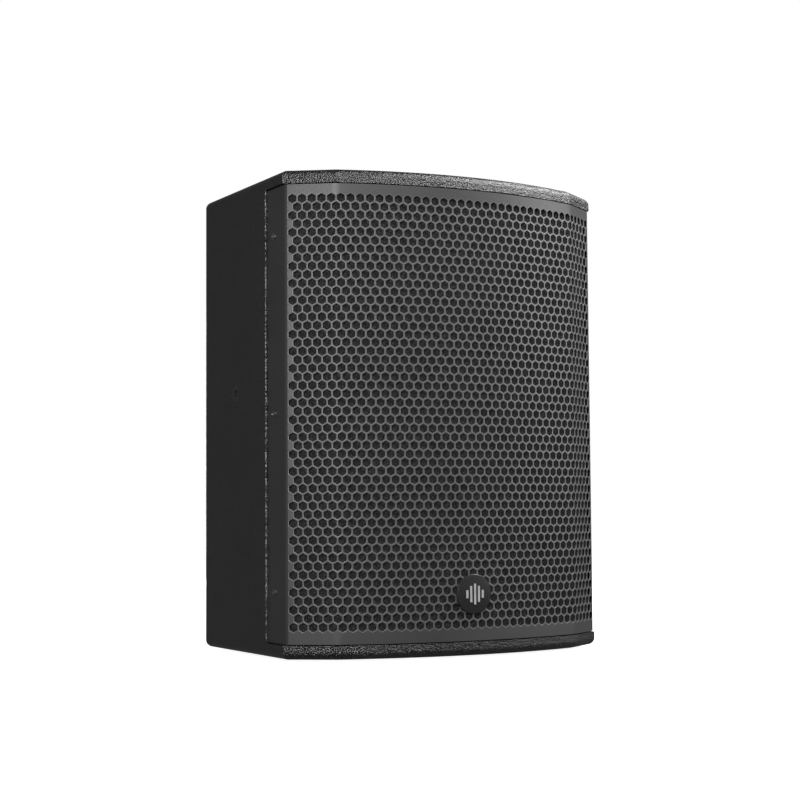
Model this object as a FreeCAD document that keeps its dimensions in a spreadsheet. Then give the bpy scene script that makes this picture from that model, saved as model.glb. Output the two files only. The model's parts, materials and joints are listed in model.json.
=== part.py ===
import FreeCAD, Part
import Sketcher
import math
import os
import re
from FreeCAD import Placement, Rotation, Vector

# A two-way PA loudspeaker cabinet. X is to the right, the front faces -Y and Z is up.
# The origin is under the middle of the cabinet, at the level its rubber feet stand on.

# Driving dimensions, in mm and degrees.
SIZES = {
    # cabinet
    "half_width": 197, "front_peak": -141, "rear_face": 145, "cabinet_height": 520,
    "ply": 15, "edge_round": 8, "rear_round": 12,
    "arc_radius": 434.9, "arc_half_angle": 20.06, "facet_angle": 34.5,
    "glue_gap": 0.05,
    # rebate in each side for the grille's flange
    "rebate_depth": 4, "rebate_rear": -36, "rebate_round_low": 5, "rebate_round_top": 2,
    # front baffle and what holds it
    "baffle_front": -79, "baffle_board": 18, "baffle_gap": 0.4, "cleat": 18,
    "side_cleat_top": 390,
    "brace_level": 345, "brace_window_x": 120, "brace_window_front": 0, "brace_window_rear": 100,
    # rubber feet
    "foot_height": 3, "foot_radius": 14, "foot_chamfer": 1, "foot_x": 125,
    "foot_front": -45, "foot_rear": 95,
    # grille, foam and grille screws
    "grille_gauge": 1.5, "grille_inset": 2.4, "grille_gap": 0.6, "grille_bend": 4,
    "grille_rear": -37, "foam_gap": 0.1, "foam_thick": 6, "foam_half": 184, "foam_margin": 4,
    "screw_y": -54.4, "screw_low": 72.9, "screw_mid": 263.3, "screw_high": 455,
    "grille_screw_head": 4, "grille_screw_dome": 2.2, "grille_screw_shank": 2,
    "grille_screw_length": 10,
    # badge
    "badge_level": 69, "badge_radius": 21.2, "badge_back": -141.3, "badge_rim": 1.9,
    "badge_dome": 3.3, "badge_edge": 0.5, "badge_stud": 2.5, "badge_stud_length": 5,
    "stud_clearance": 0.06, "badge_face": -145, "bar_width": 2.4, "bar_pitch": 4.8,
    "bar_base": 1.2, "bar_tall": 11, "bar_step": 3.4, "bar_lift": 1,
    "retainer_radius": 6, "retainer_thick": 1.5, "retainer_gap": 0.3, "slip_gap": 0.02,
    # woofer, measured along its axis from the baffle's front
    "woofer_level": 185, "woofer_cutout": 142, "basket_radius": 155, "basket_lip": 131,
    "basket_wall": 141, "basket_gauge": 2.5, "basket_flange": 3, "gasket_thick": 1.5,
    "basket_straight": 12, "shelf_outer": 93, "shelf_depth": 62, "basket_neck": 82.5,
    "basket_depth": 80, "basket_hole": 45, "window_inner": 98, "window_outer": 131,
    "window_half_angle": 14, "window_front": 23, "window_depth": 36,
    "bolt_circle": 147, "bolt_radius": 3, "bolt_head": 5, "bolt_head_height": 6,
    "bolt_length": 25, "bolt_socket": 2.5, "bolt_socket_depth": 3, "bolt_clearance": 0.3,
    "tee_radius": 4, "tee_flange": 9, "tee_flange_thick": 1.5, "tee_length": 12,
    "coil_radius": 38.1, "former_gauge": 0.5, "coil_build": 0.8, "coil_height": 12,
    "cone_edge": 119, "cone_paper": 1.2, "cone_neck_depth": 50,
    "surround_thick": 1, "surround_lip": 141, "surround_rise": 6,
    "cone_lip": 5, "surround_glue": 4, "surround_gap": 0.01,
    "cap_radius": 51, "cap_rise": 14, "cap_thick": 1, "cap_depth": 36.8,
    "shoulder_radius": 0.55, "shoulder_rise": 0.72, "former_lap": 4, "former_tail": 1,
    "front_ring_thick": 2, "spider_thick": 0.8, "spider_outer": 92, "spider_flat": 80,
    "spider_depth": 61, "spider_land": 2, "spider_fold": 1.5,
    "top_plate_radius": 78, "top_plate_thick": 8, "gap_outer": 39.7, "pole_radius": 36.8,
    "magnet_radius": 78, "magnet_bore": 48, "magnet_thick": 20, "yoke_radius": 76,
    "yoke_thick": 9, "vent_radius": 10,
    "tag_board_width": 30, "tag_board_length": 14, "tag_board_thick": 2, "tag_width": 6.3,
    "tag_thick": 0.8, "tag_length": 8, "tag_spread": 9,
    # horn, its gasket and screws, measured as the woofer is
    "horn_level": 428, "horn_half_width": 112.5, "horn_half_height": 70, "horn_flange": 4,
    "horn_gasket": 1, "horn_gasket_margin": 1, "mouth_half_width": 95,
    "mouth_half_height": 52, "horn_wall": 3,
    "throat_depth": 70, "throat_radius": 12.7, "throat_wall": 5, "throat_flange": 45,
    "throat_flange_thick": 6, "horn_screw_x": 105, "horn_screw_z": 62,
    "horn_screw_shank": 2.2, "horn_screw_head": 4, "horn_screw_head_height": 3,
    "horn_screw_length": 20,
    # compression driver behind the throat flange
    "driver_radius": 52, "driver_plate": 8, "driver_magnet": 18, "driver_magnet_bore": 26,
    "driver_top_plate": 6, "driver_gap_outer": 23.4, "driver_pole": 21.6,
    "driver_pole_mouth": 18, "driver_coil": 22, "driver_former": 0.3, "driver_winding": 0.6,
    "driver_coil_height": 7, "driver_coil_lead": 0.5, "driver_pole_rise": 2,
    "dome_thick": 0.5, "dome_rise": 8, "plug_clearance": 3.2, "plug_radius": 15,
    "plug_foot": 1, "plug_shoulder": 3, "plug_tip": 5.5, "suspension_outer": 30,
    "clamp_outer": 38, "clamp_inner": 26, "clamp_height": 4, "cover_depth": 27,
    "cover_wall": 2.5, "cover_edge": 4, "cover_edge_inside": 5,
    "driver_bolt_circle": 38, "driver_bolt_length": 13,
    # ports
    "port_x": 147, "port_radius": 25, "port_wall": 2.5, "port_flange": 33,
    "port_flange_thick": 3, "port_length": 90, "port_flare": 5,
    "port_flange_round": 1,
    # crossover
    "board_level": 190, "board_height": 100, "board_half": 80, "board_thick": 1.6,
    "standoff": 10, "standoff_radius": 4, "standoff_inset": 8, "board_screw": 1.5,
    "board_screw_head": 3, "board_screw_head_height": 2,
    "inductor_radius": 26, "inductor_bore": 10, "inductor_height": 20,
    "inductor_margin": 10, "inductor_left": -40, "inductor_right": 30,
    "capacitor_radius": 11, "capacitor_length": 45, "capacitor_left": -62,
    "capacitor_right": -10, "resistor_length": 30, "resistor_width": 10,
    "resistor_left": 36, "resistor_margin": 6, "part_margin": 3, "part_gap": 0.2,
    # terminal plate with its sockets, in the rear panel
    "plate_level": 95, "plate_half_width": 90, "plate_half_height": 50, "plate_gauge": 1.5,
    "plate_gasket": 1, "plate_recess": 5, "plate_land": 10, "plate_fit": 0.4,
    "plate_screw_inset": 5, "plate_screw_shank": 1.8, "plate_screw_head": 3.5,
    "plate_screw_head_height": 2.2, "plate_screw_length": 12,
    "socket_x": 30, "socket_half_width": 13, "socket_half_height": 15.5,
    "socket_flange": 2, "socket_barrel": 12.5, "socket_well": 10.5, "socket_post": 4,
    "socket_well_depth": 20, "socket_depth": 30, "socket_screw_x": 9.5,
    "socket_screw_z": 12, "socket_screw_shank": 1.4, "socket_screw_head": 2.6,
    "socket_screw_head_height": 0.5, "socket_screw_length": 8,
    # rigging inserts
    "insert_y": 46, "insert_level": 291, "top_insert_x": 100, "insert_flange": 10,
    "insert_flange_thick": 1.5, "insert_barrel": 6.5, "insert_bore": 4.25,
    # pole socket in the bottom
    "pole_y": 20, "pole_bore": 18, "pole_tube_wall": 2.5, "pole_depth": 72,
    "pole_flange": 55, "pole_flange_thick": 2, "pole_recess": 2.2, "pole_screw_circle": 45,
    "pole_screw_shank": 2, "pole_screw_head": 3.8, "pole_screw_length": 12,
    # wadding and cables
    "wadding": 10, "wadding_gap": 3, "wadding_side_front": 15, "cable_radius": 2,
}

# Places worked out from the driving dimensions.
CREASE_X = "arc_radius * sin(arc_half_angle)"
CREASE_Y = "(front_peak + arc_radius * (1 - cos(arc_half_angle)))"
BISECTOR = "(arc_half_angle + facet_angle) / 2"
HALF_CREASE = "(facet_angle - arc_half_angle) / 2"
INNER_X = "(half_width - ply)"
FLOOR = "(foot_height + ply)"
TOP = "(foot_height + cabinet_height)"
CEILING = "(foot_height + cabinet_height - ply)"
INNER_HEIGHT = "(cabinet_height - 2 * ply)"
BAFFLE_REAR = "(baffle_front + baffle_board)"
REAR_INSIDE = "(rear_face - ply)"
FLANGE_X = "(half_width - grille_inset)"

doc = FreeCAD.newDocument("pa_speaker_cabinet")
sheet = doc.addObject("Spreadsheet::Sheet", "Dims")
for row, (name, size) in enumerate(SIZES.items(), 1):
    sheet.set("A%d" % row, name)
    sheet.set("B%d" % row, str(size))
    sheet.setAlias("B%d" % row, name)
doc.recompute()

nodes = []


# ---- Sheet, sketch and feature helpers ---------------------------------------------

def bound(expression):
    """The expression with every name from the sheet written in full."""
    return re.sub(r"[a-z_]+", lambda word: "Dims." * (word[0] in SIZES) + word[0], str(expression))


def value(expression):
    """What the expression comes to, in mm or degrees."""
    return float(sheet.evalExpression(str(expression)))


def add(kind, label, kept=True):
    item = doc.addObject(kind, label)
    item.Label = label
    if kept:
        nodes.append(item)
    return item


def place(item, x=0, y=0, z=0):
    for axis, distance in zip("xyz", (x, y, z)):
        item.setExpression("Placement.Base." + axis, bound(distance))


NORMAL = {"XY_Plane": 1, "XZ_Plane": -1, "YZ_Plane": 1}


def new_sketch(body, role, level=0):
    """A sketch at this level on the body's own origin plane."""
    sketch = body.newObject("Sketcher::SketchObject", "sketch")
    plane = next(item for item in body.Origin.OriginFeatures if item.Role == role)
    sketch.AttachmentSupport = [(plane, "")]
    sketch.MapMode = "FlatFace"
    sketch.setExpression("AttachmentOffset.Base.z", bound("%d * (%s)" % (NORMAL[role], level)))
    return sketch


def bind(sketch, constraint, expression):
    number = sketch.addConstraint(constraint)
    sketch.setExpression("Constraints[%d]" % number, bound(expression))


def fix_point(sketch, edge, end, x, y):
    bind(sketch, Sketcher.Constraint("DistanceX", -1, 1, edge, end, value(x)), x)
    bind(sketch, Sketcher.Constraint("DistanceY", -1, 1, edge, end, value(y)), y)


def arc_between(start, end, radius):
    """The short arc from start to end, counter-clockwise when the radius is positive."""
    across = end - start
    left = Vector(-across.y, across.x, 0).normalize()
    height = math.sqrt(max(radius ** 2 - (across.Length / 2) ** 2, 0))
    centre = (start + end) / 2 + left * math.copysign(height, radius)
    if radius < 0:
        start, end = end, start
    angles = [math.atan2(point.y - centre.y, point.x - centre.x) for point in (start, end)]
    circle = Part.Circle(centre, Vector(0, 0, 1), abs(radius))
    return Part.ArcOfCircle(circle, angles[0], angles[1])


def draw(sketch, points):
    """A closed outline through (x, y) points. A third value makes the edge to the next
    point an arc of that radius, counter-clockwise when positive."""
    corners = [Vector(value(point[0]), value(point[1]), 0) for point in points]
    first = sketch.GeometryCount
    count = len(points)
    ends = []
    for index, point in enumerate(points):
        start, end = corners[index], corners[(index + 1) % count]
        radius = value(point[2]) if len(point) > 2 else 0
        edge = arc_between(start, end, radius) if radius else Part.LineSegment(start, end)
        sketch.addGeometry(edge, False)
        ends.append((2, 1) if radius < 0 else (1, 2))
    for index, point in enumerate(points):
        edge, after = first + index, first + (index + 1) % count
        next_start = ends[(index + 1) % count][0]
        joined = Sketcher.Constraint("Coincident", edge, ends[index][1], after, next_start)
        sketch.addConstraint(joined)
        fix_point(sketch, edge, ends[index][0], point[0], point[1])
        if len(point) > 2:
            radius = Sketcher.Constraint("Radius", edge, abs(value(point[2])))
            bind(sketch, radius, "abs(%s)" % point[2])


def draw_circle(sketch, x, y, radius):
    circle = Part.Circle(Vector(value(x), value(y), 0), Vector(0, 0, 1), value(radius))
    index = sketch.addGeometry(circle, False)
    fix_point(sketch, index, 3, x, y)
    bind(sketch, Sketcher.Constraint("Radius", index, value(radius)), radius)


def pad(body, role, level, thickness, *shapes):
    """Material from the level, along the plane's row axis, for the thickness. A shape is an
    outline's points or one circle's (x, y, radius)."""
    sketch = new_sketch(body, role, level)
    draw_shapes(sketch, shapes)
    feature = body.newObject("PartDesign::Pad", "pad")
    feature.Profile = sketch
    feature.setExpression("Length", bound(thickness))
    feature.Reversed = NORMAL[role] < 0
    doc.recompute()
    return feature


def pocket(body, role, level, depth, *shapes):
    """A cut from the level, along the plane's row axis, to the depth."""
    doc.recompute()
    before = body.Shape.Volume
    sketch = new_sketch(body, role, level)
    draw_shapes(sketch, shapes)
    feature = body.newObject("PartDesign::Pocket", "pocket")
    feature.Profile = sketch
    feature.setExpression("Length", bound(depth))
    feature.Reversed = NORMAL[role] > 0
    doc.recompute()
    if body.Shape.Volume > before - 0.5:
        raise RuntimeError("a pocket in %s cuts nothing" % body.Label)
    return feature


def draw_shapes(sketch, shapes):
    for shape in shapes:
        if isinstance(shape, tuple):
            draw_circle(sketch, *shape)
        else:
            draw(sketch, shape)


def box(left, low, right, high):
    return [(left, low), (right, low), (right, high), (left, high)]


def revolve(label, axis, points, kept=True):
    """A body turned about the X, Y or Z axis through its origin. Points are (radius, distance
    along the axis), with an arc radius where the edge that follows is an arc."""
    body = add("PartDesign::Body", label, kept)
    if axis == "X":
        points = [(point[1], point[0]) + tuple(point[2:]) for point in points]
    sketch = new_sketch(body, "XZ_Plane" if axis == "Z" else "XY_Plane")
    draw(sketch, points)
    feature = body.newObject("PartDesign::Revolution", "turned")
    feature.Profile = sketch
    feature.ReferenceAxis = (sketch, ["H_Axis" if axis == "X" else "V_Axis"])
    feature.Angle = 360
    doc.recompute()
    return body


def ring(inner, outer, start, end):
    return [(inner, start), (outer, start), (outer, end), (inner, end)]


def pattern(body, features, axis, count):
    """The features repeated about one of the body's axes."""
    before = body.Shape.Volume
    polar = body.newObject("PartDesign::PolarPattern", "pattern")
    polar.Originals = features
    polar.Axis = (next(item for item in body.Origin.OriginFeatures if item.Role == axis), [""])
    polar.Angle = 360
    polar.Occurrences = count
    body.Tip = polar
    doc.recompute()
    if abs(body.Shape.Volume - before) < 0.5:
        raise RuntimeError("the pattern in %s changes nothing" % body.Label)


def round_edges(body, radius, test):
    """A fillet on every edge whose middle passes the test."""
    doc.recompute()
    base = body.Tip
    names = ["Edge%d" % number for number, edge in enumerate(base.Shape.Edges, 1) if test(edge)]
    fillet = body.newObject("PartDesign::Fillet", "fillet")
    fillet.Base = (base, names)
    fillet.setExpression("Radius", bound(radius))
    doc.recompute()


def block(label, x, y, z, kept=False):
    """A Part box. Each of x, y and z is (low, high)."""
    item = add("Part::Box", label, kept)
    for side, (low, high) in zip(("Length", "Width", "Height"), (x, y, z)):
        item.setExpression(side, bound("(%s) - (%s)" % (high, low)))
    place(item, x[0], y[0], z[0])
    return item


def group(label, items, kept=True):
    """One node that holds several separate solids."""
    compound = add("Part::Compound", label, kept)
    compound.Links = items
    return compound


def copies(label, master, places, turned=None, kept=True):
    """One node with the master repeated at each (x, y, z) place, turned where asked."""
    links = []
    for spot in places:
        link = doc.addObject("App::Link", label + "_copy")
        link.LinkedObject = master
        if turned and turned(spot):
            link.Placement = Placement(Vector(), Rotation(Vector(0, 0, 1), 180))
        place(link, *spot)
        links.append(link)
    return group(label, links, kept)


def circle_places(radius, count, start_angle, x=0, y=0, z=0):
    """Places round a circle that faces the front."""
    spots = []
    for index in range(count):
        angle = start_angle + 360 * index / count
        across = "%s + %s * cos(%g)" % (x, radius, angle)
        above = "%s + %s * sin(%g)" % (z, radius, angle)
        spots.append((across, y, above))
    return spots


def round_heads(spots, radius):
    """The circles, in a sketch that faces the front, for bolts at these places."""
    return [(spot[0], spot[2], radius) for spot in spots]


# ---- The front's plan curve --------------------------------------------------------

def facet_y(x, depth):
    """Y of the flat side facet at x, this far behind the outside surface."""
    return "(%s + ((%s) - %s) * tan(facet_angle) + (%s) / cos(facet_angle))" % (
        CREASE_Y, x, CREASE_X, depth)


def front_path(depth, end_x, bend=None):
    """The bowed front from left to right, this far behind the outside surface: a facet, the
    wide arc and the other facet. With a bend, each end turns back along a flange."""
    crease_x = "(%s - (%s) * sin(%s) / cos(%s))" % (CREASE_X, depth, BISECTOR, HALF_CREASE)
    crease_y = "(%s + (%s) * cos(%s) / cos(%s))" % (CREASE_Y, depth, BISECTOR, HALF_CREASE)
    arc = [("-" + crease_x, crease_y, "arc_radius - (%s)" % depth), (crease_x, crease_y)]
    corner_y = facet_y(end_x, depth)
    if bend is None:
        return [("-" + end_x, corner_y)] + arc + [(end_x, corner_y)]
    cut = "(%s) * tan((90 - facet_angle) / 2)" % bend
    near_x = "((%s) - %s * cos(facet_angle))" % (end_x, cut)
    near_y = "(%s - %s * sin(facet_angle))" % (corner_y, cut)
    flange_y = "(%s + %s)" % (corner_y, cut)
    left = [("-(%s)" % end_x, "grille_rear"), ("-(%s)" % end_x, flange_y, bend), ("-" + near_x, near_y)]
    right = [(near_x, near_y, bend), (end_x, flange_y), (end_x, "grille_rear")]
    return left + arc + right


def backwards(path):
    """The same path from its other end."""
    turned = []
    for index in range(len(path) - 1, -1, -1):
        point = path[index][:2]
        if index and len(path[index - 1]) > 2:
            point += ("-(%s)" % path[index - 1][2],)
        turned.append(point)
    return turned


# ---- Cabinet -----------------------------------------------------------------------

def end_panel(label, level, rounded_face):
    """The top or bottom: the plan of the whole cabinet, with its outer edges rounded over."""
    panel = add("PartDesign::Body", label)
    outline = front_path(0, "half_width") + [("half_width", "rear_face"), ("-half_width", "rear_face")]
    pad(panel, "XY_Plane", level, "ply", outline)
    rear, side, face = value("rear_face"), value("half_width"), value(rounded_face)

    def is_rear_corner(edge):
        middle = edge.CenterOfMass
        return abs(middle.y - rear) < 0.01 and abs(abs(middle.x) - side) < 0.01

    round_edges(panel, "rear_round", is_rear_corner)
    round_edges(panel, "edge_round", lambda edge: abs(edge.CenterOfMass.z - face) < 0.01)
    return panel


def insert_cutter(panel, role, outside, inward, *spots):
    """Holes for rigging inserts through a panel, with a recess for each flange."""
    hole = [spot + ("insert_barrel + glue_gap",) for spot in spots]
    sink = [spot + ("insert_flange + glue_gap",) for spot in spots]
    inner = outside if inward > 0 else "(%s - ply)" % outside
    recess = outside if inward > 0 else "(%s - insert_flange_thick)" % outside
    pocket(panel, role, inner, "ply", *hole)
    pocket(panel, role, recess, "insert_flange_thick", *sink)


def make_top_panel():
    top = end_panel("top_panel", CEILING, TOP)
    insert_cutter(top, "XY_Plane", TOP, -1, ("top_insert_x", "insert_y"), ("-top_insert_x", "insert_y"))


def pole_screw_spots():
    spots = []
    for angle in (45, 135, 225, 315):
        x = "pole_screw_circle * cos(%d)" % angle
        y = "pole_y + pole_screw_circle * sin(%d)" % angle
        spots.append((x, y))
    return spots


def make_bottom_panel():
    bottom = end_panel("bottom_panel", "foot_height", "foot_height")
    pocket(bottom, "XY_Plane", "foot_height", "pole_recess", (0, "pole_y", "pole_flange + glue_gap"))
    tube = "pole_bore + pole_tube_wall + glue_gap"
    pocket(bottom, "XY_Plane", "foot_height", "ply", (0, "pole_y", tube))
    pilots = [spot + ("pole_screw_shank + glue_gap",) for spot in pole_screw_spots()]
    pocket(bottom, "XY_Plane", "foot_height", "pole_screw_length + glue_gap", *pilots)


GRILLE_SCREW_LEVELS = ("screw_low", "screw_mid", "screw_high")


def make_side_panels():
    """The right side, with a rebate for the grille's flange, and its mirror image."""
    side = add("PartDesign::Body", "right_side_panel")
    front = "(baffle_front - baffle_gap)"
    pad(side, "YZ_Plane", INNER_X, "ply", box(front, FLOOR, "rear_face", CEILING))
    rear, outside = value("rear_face"), value("half_width")

    def is_rear_edge(edge):
        middle = edge.CenterOfMass
        return abs(middle.y - rear) < 0.01 and abs(middle.x - outside) < 0.01

    round_edges(side, "rear_round", is_rear_edge)
    ahead = "(%s - ply)" % front
    rebate = [
        (ahead, FLOOR),
        ("rebate_rear - rebate_round_low", FLOOR, "rebate_round_low"),
        ("rebate_rear", "%s + rebate_round_low" % FLOOR),
        ("rebate_rear", "%s - rebate_round_top" % CEILING, "rebate_round_top"),
        ("rebate_rear - rebate_round_top", CEILING),
        (ahead, CEILING),
    ]
    pocket(side, "YZ_Plane", "half_width - rebate_depth", "rebate_depth", rebate)
    pilots = [("screw_y", level, "grille_screw_shank + glue_gap") for level in GRILLE_SCREW_LEVELS]
    pilot_end = "half_width - rebate_depth - grille_screw_length"
    pocket(side, "YZ_Plane", pilot_end, "grille_screw_length", *pilots)
    insert_cutter(side, "YZ_Plane", "half_width", -1, ("insert_y", "insert_level"))
    mirror = add("Part::Mirroring", "left_side_panel")
    mirror.Source = side
    mirror.Normal = Vector(1, 0, 0)


def plate_screw_spots():
    """The six screws of the terminal plate, as (x, z)."""
    across = "(plate_half_width - plate_screw_inset)"
    above = "(plate_half_height - plate_screw_inset)"
    spots = []
    for side in ("-", "0 * ", ""):
        for end in ("-", ""):
            spots.append((side + across, "plate_level + (%s%s)" % (end, above)))
    return spots


def make_rear_panel():
    rear = add("PartDesign::Body", "rear_panel")
    edge = "%s - glue_gap" % INNER_X
    pad(rear, "XZ_Plane", REAR_INSIDE, "ply", box("-(%s)" % edge, FLOOR, edge, CEILING))
    half_x, half_z = "(plate_half_width + plate_fit)", "(plate_half_height + plate_fit)"
    recess = box("-" + half_x, "plate_level - " + half_z, half_x, "plate_level + " + half_z)
    pocket(rear, "XZ_Plane", "rear_face - plate_recess", "plate_recess", recess)
    open_x, open_z = "(plate_half_width - plate_land)", "(plate_half_height - plate_land)"
    opening = box("-" + open_x, "plate_level - " + open_z, open_x, "plate_level + " + open_z)
    pocket(rear, "XZ_Plane", REAR_INSIDE, "ply", opening)
    pilots = [spot + ("plate_screw_shank + glue_gap",) for spot in plate_screw_spots()]
    pocket(rear, "XZ_Plane", REAR_INSIDE, "ply - plate_recess", *pilots)


def woofer_bolt_spots():
    return circle_places("bolt_circle", 8, 22.5, z="woofer_level")


def horn_screw_spots():
    spots = []
    for side in ("-", ""):
        for end in ("-", ""):
            spots.append((side + "horn_screw_x", 0, "horn_level + (%shorn_screw_z)" % end))
    return spots


def make_baffle():
    baffle = add("PartDesign::Body", "front_baffle")
    edge = "%s - glue_gap" % INNER_X
    pad(baffle, "XZ_Plane", "baffle_front", "baffle_board", box("-(%s)" % edge, FLOOR, edge, CEILING))
    pocket(baffle, "XZ_Plane", "baffle_front", "baffle_board", (0, "woofer_level", "woofer_cutout"))
    half_x = "(mouth_half_width + horn_wall + 1)"
    half_z = "(mouth_half_height + horn_wall + 1)"
    cutout = box("-" + half_x, "horn_level - " + half_z, half_x, "horn_level + " + half_z)
    pocket(baffle, "XZ_Plane", "baffle_front", "baffle_board", cutout)
    port = "port_radius + port_wall + glue_gap"
    pocket(baffle, "XZ_Plane", "baffle_front", "baffle_board", ("port_x", "horn_level", port),
           ("-port_x", "horn_level", port))
    tees = round_heads(woofer_bolt_spots(), "tee_radius + glue_gap")
    pilots = round_heads(horn_screw_spots(), "horn_screw_shank + glue_gap")
    pocket(baffle, "XZ_Plane", "baffle_front", "baffle_board", *(tees + pilots))


def make_cleats_and_brace():
    depth = (BAFFLE_REAR, "%s + cleat" % BAFFLE_REAR)
    whole = ("-" + INNER_X, INNER_X)
    low = (FLOOR, "%s + cleat" % FLOOR)
    high = ("%s - cleat" % CEILING, CEILING)
    upright = ("%s + cleat" % FLOOR, "side_cleat_top")
    group("baffle_cleats", [
        block("bottom_cleat", whole, depth, low),
        block("top_cleat", whole, depth, high),
        block("left_cleat", ("-" + INNER_X, "cleat - %s" % INNER_X), depth, upright),
        block("right_cleat", ("%s - cleat" % INNER_X, INNER_X), depth, upright),
    ])
    brace = add("PartDesign::Body", "cross_brace")
    outline = box("cleat - %s" % INNER_X, BAFFLE_REAR, "%s - cleat" % INNER_X, REAR_INSIDE)
    pad(brace, "XY_Plane", "brace_level", "ply", outline)
    window = box("-brace_window_x", "brace_window_front", "brace_window_x", "brace_window_rear")
    pocket(brace, "XY_Plane", "brace_level", "ply", window)
    round_edges(brace, "cleat", is_window_corner)


def is_window_corner(edge):
    middle = edge.CenterOfMass
    across = abs(abs(middle.x) - value("brace_window_x")) < 0.01
    along = min(abs(middle.y - value(end)) for end in ("brace_window_front", "brace_window_rear")) < 0.01
    return across and along


def make_feet():
    foot = revolve("rubber_foot", "Z", [
        (0, 0), ("foot_radius - foot_chamfer", 0), ("foot_radius", "foot_chamfer"),
        ("foot_radius", "foot_height"), (0, "foot_height"),
    ], kept=False)
    spots = [(side + "foot_x", y, 0) for side in ("-", "") for y in ("foot_front", "foot_rear")]
    copies("rubber_feet", foot, spots)


def make_wadding():
    """Wadding on the side walls below and above the brace, and under the top."""
    inner = "%s - wadding" % INNER_X
    right, left = (inner, INNER_X), ("-" + INNER_X, "-(%s)" % inner)
    lower = ("%s + wadding_gap" % FLOOR, "brace_level - wadding_gap")
    upper = ("brace_level + ply + wadding_gap", "%s - wadding_gap" % CEILING)
    lower_y = ("%s + cleat + wadding_gap" % BAFFLE_REAR, "%s - wadding_gap" % REAR_INSIDE)
    upper_y = ("wadding_side_front", lower_y[1])
    top_x = ("-(%s - wadding_gap)" % inner, "%s - wadding_gap" % inner)
    group("damping_wadding", [
        block("lower_left", left, lower_y, lower),
        block("lower_right", right, lower_y, lower),
        block("upper_left", left, upper_y, upper),
        block("upper_right", right, upper_y, upper),
        block("under_top", top_x, lower_y, ("%s - wadding" % CEILING, CEILING)),
    ])


# ---- Grille and badge --------------------------------------------------------------

def make_grille():
    """The formed sheet: a bowed front with two facets, and a flange down each side."""
    grille = add("PartDesign::Body", "grille")
    outer = front_path(0, FLANGE_X, "grille_bend")
    inner = front_path("grille_gauge", "(%s - grille_gauge)" % FLANGE_X, "grille_bend - grille_gauge")
    height = "%s - 2 * grille_gap" % INNER_HEIGHT
    pad(grille, "XY_Plane", "%s + grille_gap" % FLOOR, height, outer + backwards(inner))
    low, high = value("%s + grille_gap" % FLOOR), value("%s - grille_gap" % CEILING)
    rear = value("grille_rear")

    def is_flange_corner(edge, level):
        middle = edge.CenterOfMass
        return abs(middle.y - rear) < 0.01 and abs(middle.z - level) < 0.01

    round_edges(grille, "rebate_round_low", lambda edge: is_flange_corner(edge, low))
    round_edges(grille, "rebate_round_top", lambda edge: is_flange_corner(edge, high))
    holes = [("screw_y", level, "grille_screw_shank + bolt_clearance") for level in GRILLE_SCREW_LEVELS]
    pocket(grille, "YZ_Plane", "-half_width", "2 * half_width", *holes)
    stud = (0, "badge_level", "badge_stud + stud_clearance")
    pocket(grille, "XZ_Plane", "front_peak - ply", "2 * ply", stud)

    foam = add("PartDesign::Body", "grille_foam")
    near = "(grille_gauge + foam_gap)"
    far = "(grille_gauge + foam_gap + foam_thick)"
    profile = front_path(near, "foam_half") + backwards(front_path(far, "foam_half"))
    pad(foam, "XY_Plane", "%s + foam_margin" % FLOOR, "%s - 2 * foam_margin" % INNER_HEIGHT, profile)
    pocket(foam, "XZ_Plane", "front_peak - ply", "2 * ply", (0, "badge_level", "retainer_radius + 2"))


def pan_screw(label, axis, head, height, shank, length):
    """A screw with a domed head. Its head stands out of the seat at 0, along the axis."""
    return revolve(label, axis, [
        (0, "-(%s)" % length), (shank, "-(%s)" % length), (shank, 0), (head, 0),
        (head, "(%s) * 0.45" % height), ("(%s) * 0.55" % head, height), (0, height),
    ], kept=False)


def make_grille_screws():
    length = "grille_screw_length + grille_gauge"
    screw = pan_screw("grille_screw", "X", "grille_screw_head", "grille_screw_dome",
                      "grille_screw_shank", length)
    slot = box("-grille_screw_head * 0.6", "-grille_screw_shank * 0.2",
               "grille_screw_head * 0.6", "grille_screw_shank * 0.2")
    cross = [slot, [(point[1], point[0]) for point in reversed(slot)]]
    for bar in cross:
        pocket(screw, "YZ_Plane", "grille_screw_dome * 0.5", "grille_screw_dome", bar)
    spots = [(side + FLANGE_X, "screw_y", level) for side in ("-", "") for level in GRILLE_SCREW_LEVELS]
    copies("grille_screws", screw, spots, turned=lambda spot: spot[0].startswith("-"))


BADGE_FLAT = "(badge_radius - badge_edge)"
BADGE_CROWN = "(badge_dome - badge_rim)"
DOME_RADIUS = "((%s^2 + %s^2) / (2 * %s))" % (BADGE_FLAT, BADGE_CROWN, BADGE_CROWN)


def make_badge():
    """A domed disc on a stud, and a mark of five raised level bars on its face."""
    plate = revolve("badge_plate", "Y", [
        (0, "-badge_dome", DOME_RADIUS),
        (BADGE_FLAT, "-badge_rim"), ("badge_radius", "badge_edge - badge_rim"),
        ("badge_radius", 0), ("badge_stud", 0), ("badge_stud", "badge_stud_length"),
        (0, "badge_stud_length"),
    ])
    place(plate, 0, "badge_back", "badge_level")

    bars = []
    for index in range(-2, 3):
        left = "(%d * bar_pitch - bar_width / 2)" % index
        height = "(bar_tall - %d * bar_step + %d * bar_lift)" % (abs(index), abs(index) % 2)
        across = (left, "%s + bar_width" % left)
        above = ("badge_level - " + height, "badge_level + " + height)
        bars.append(block("bar", across, ("badge_face", "badge_face + bar_base"), above))
    row = doc.addObject("Part::Compound", "bar_row")
    row.Links = bars
    ball = add("Part::Sphere", "badge_ball", kept=False)
    ball.setExpression("Radius", bound(DOME_RADIUS))
    place(ball, 0, "badge_back - badge_dome + " + DOME_RADIUS, "badge_level")
    mark = add("Part::Cut", "badge_mark")
    mark.Base = row
    mark.Tool = ball


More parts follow.
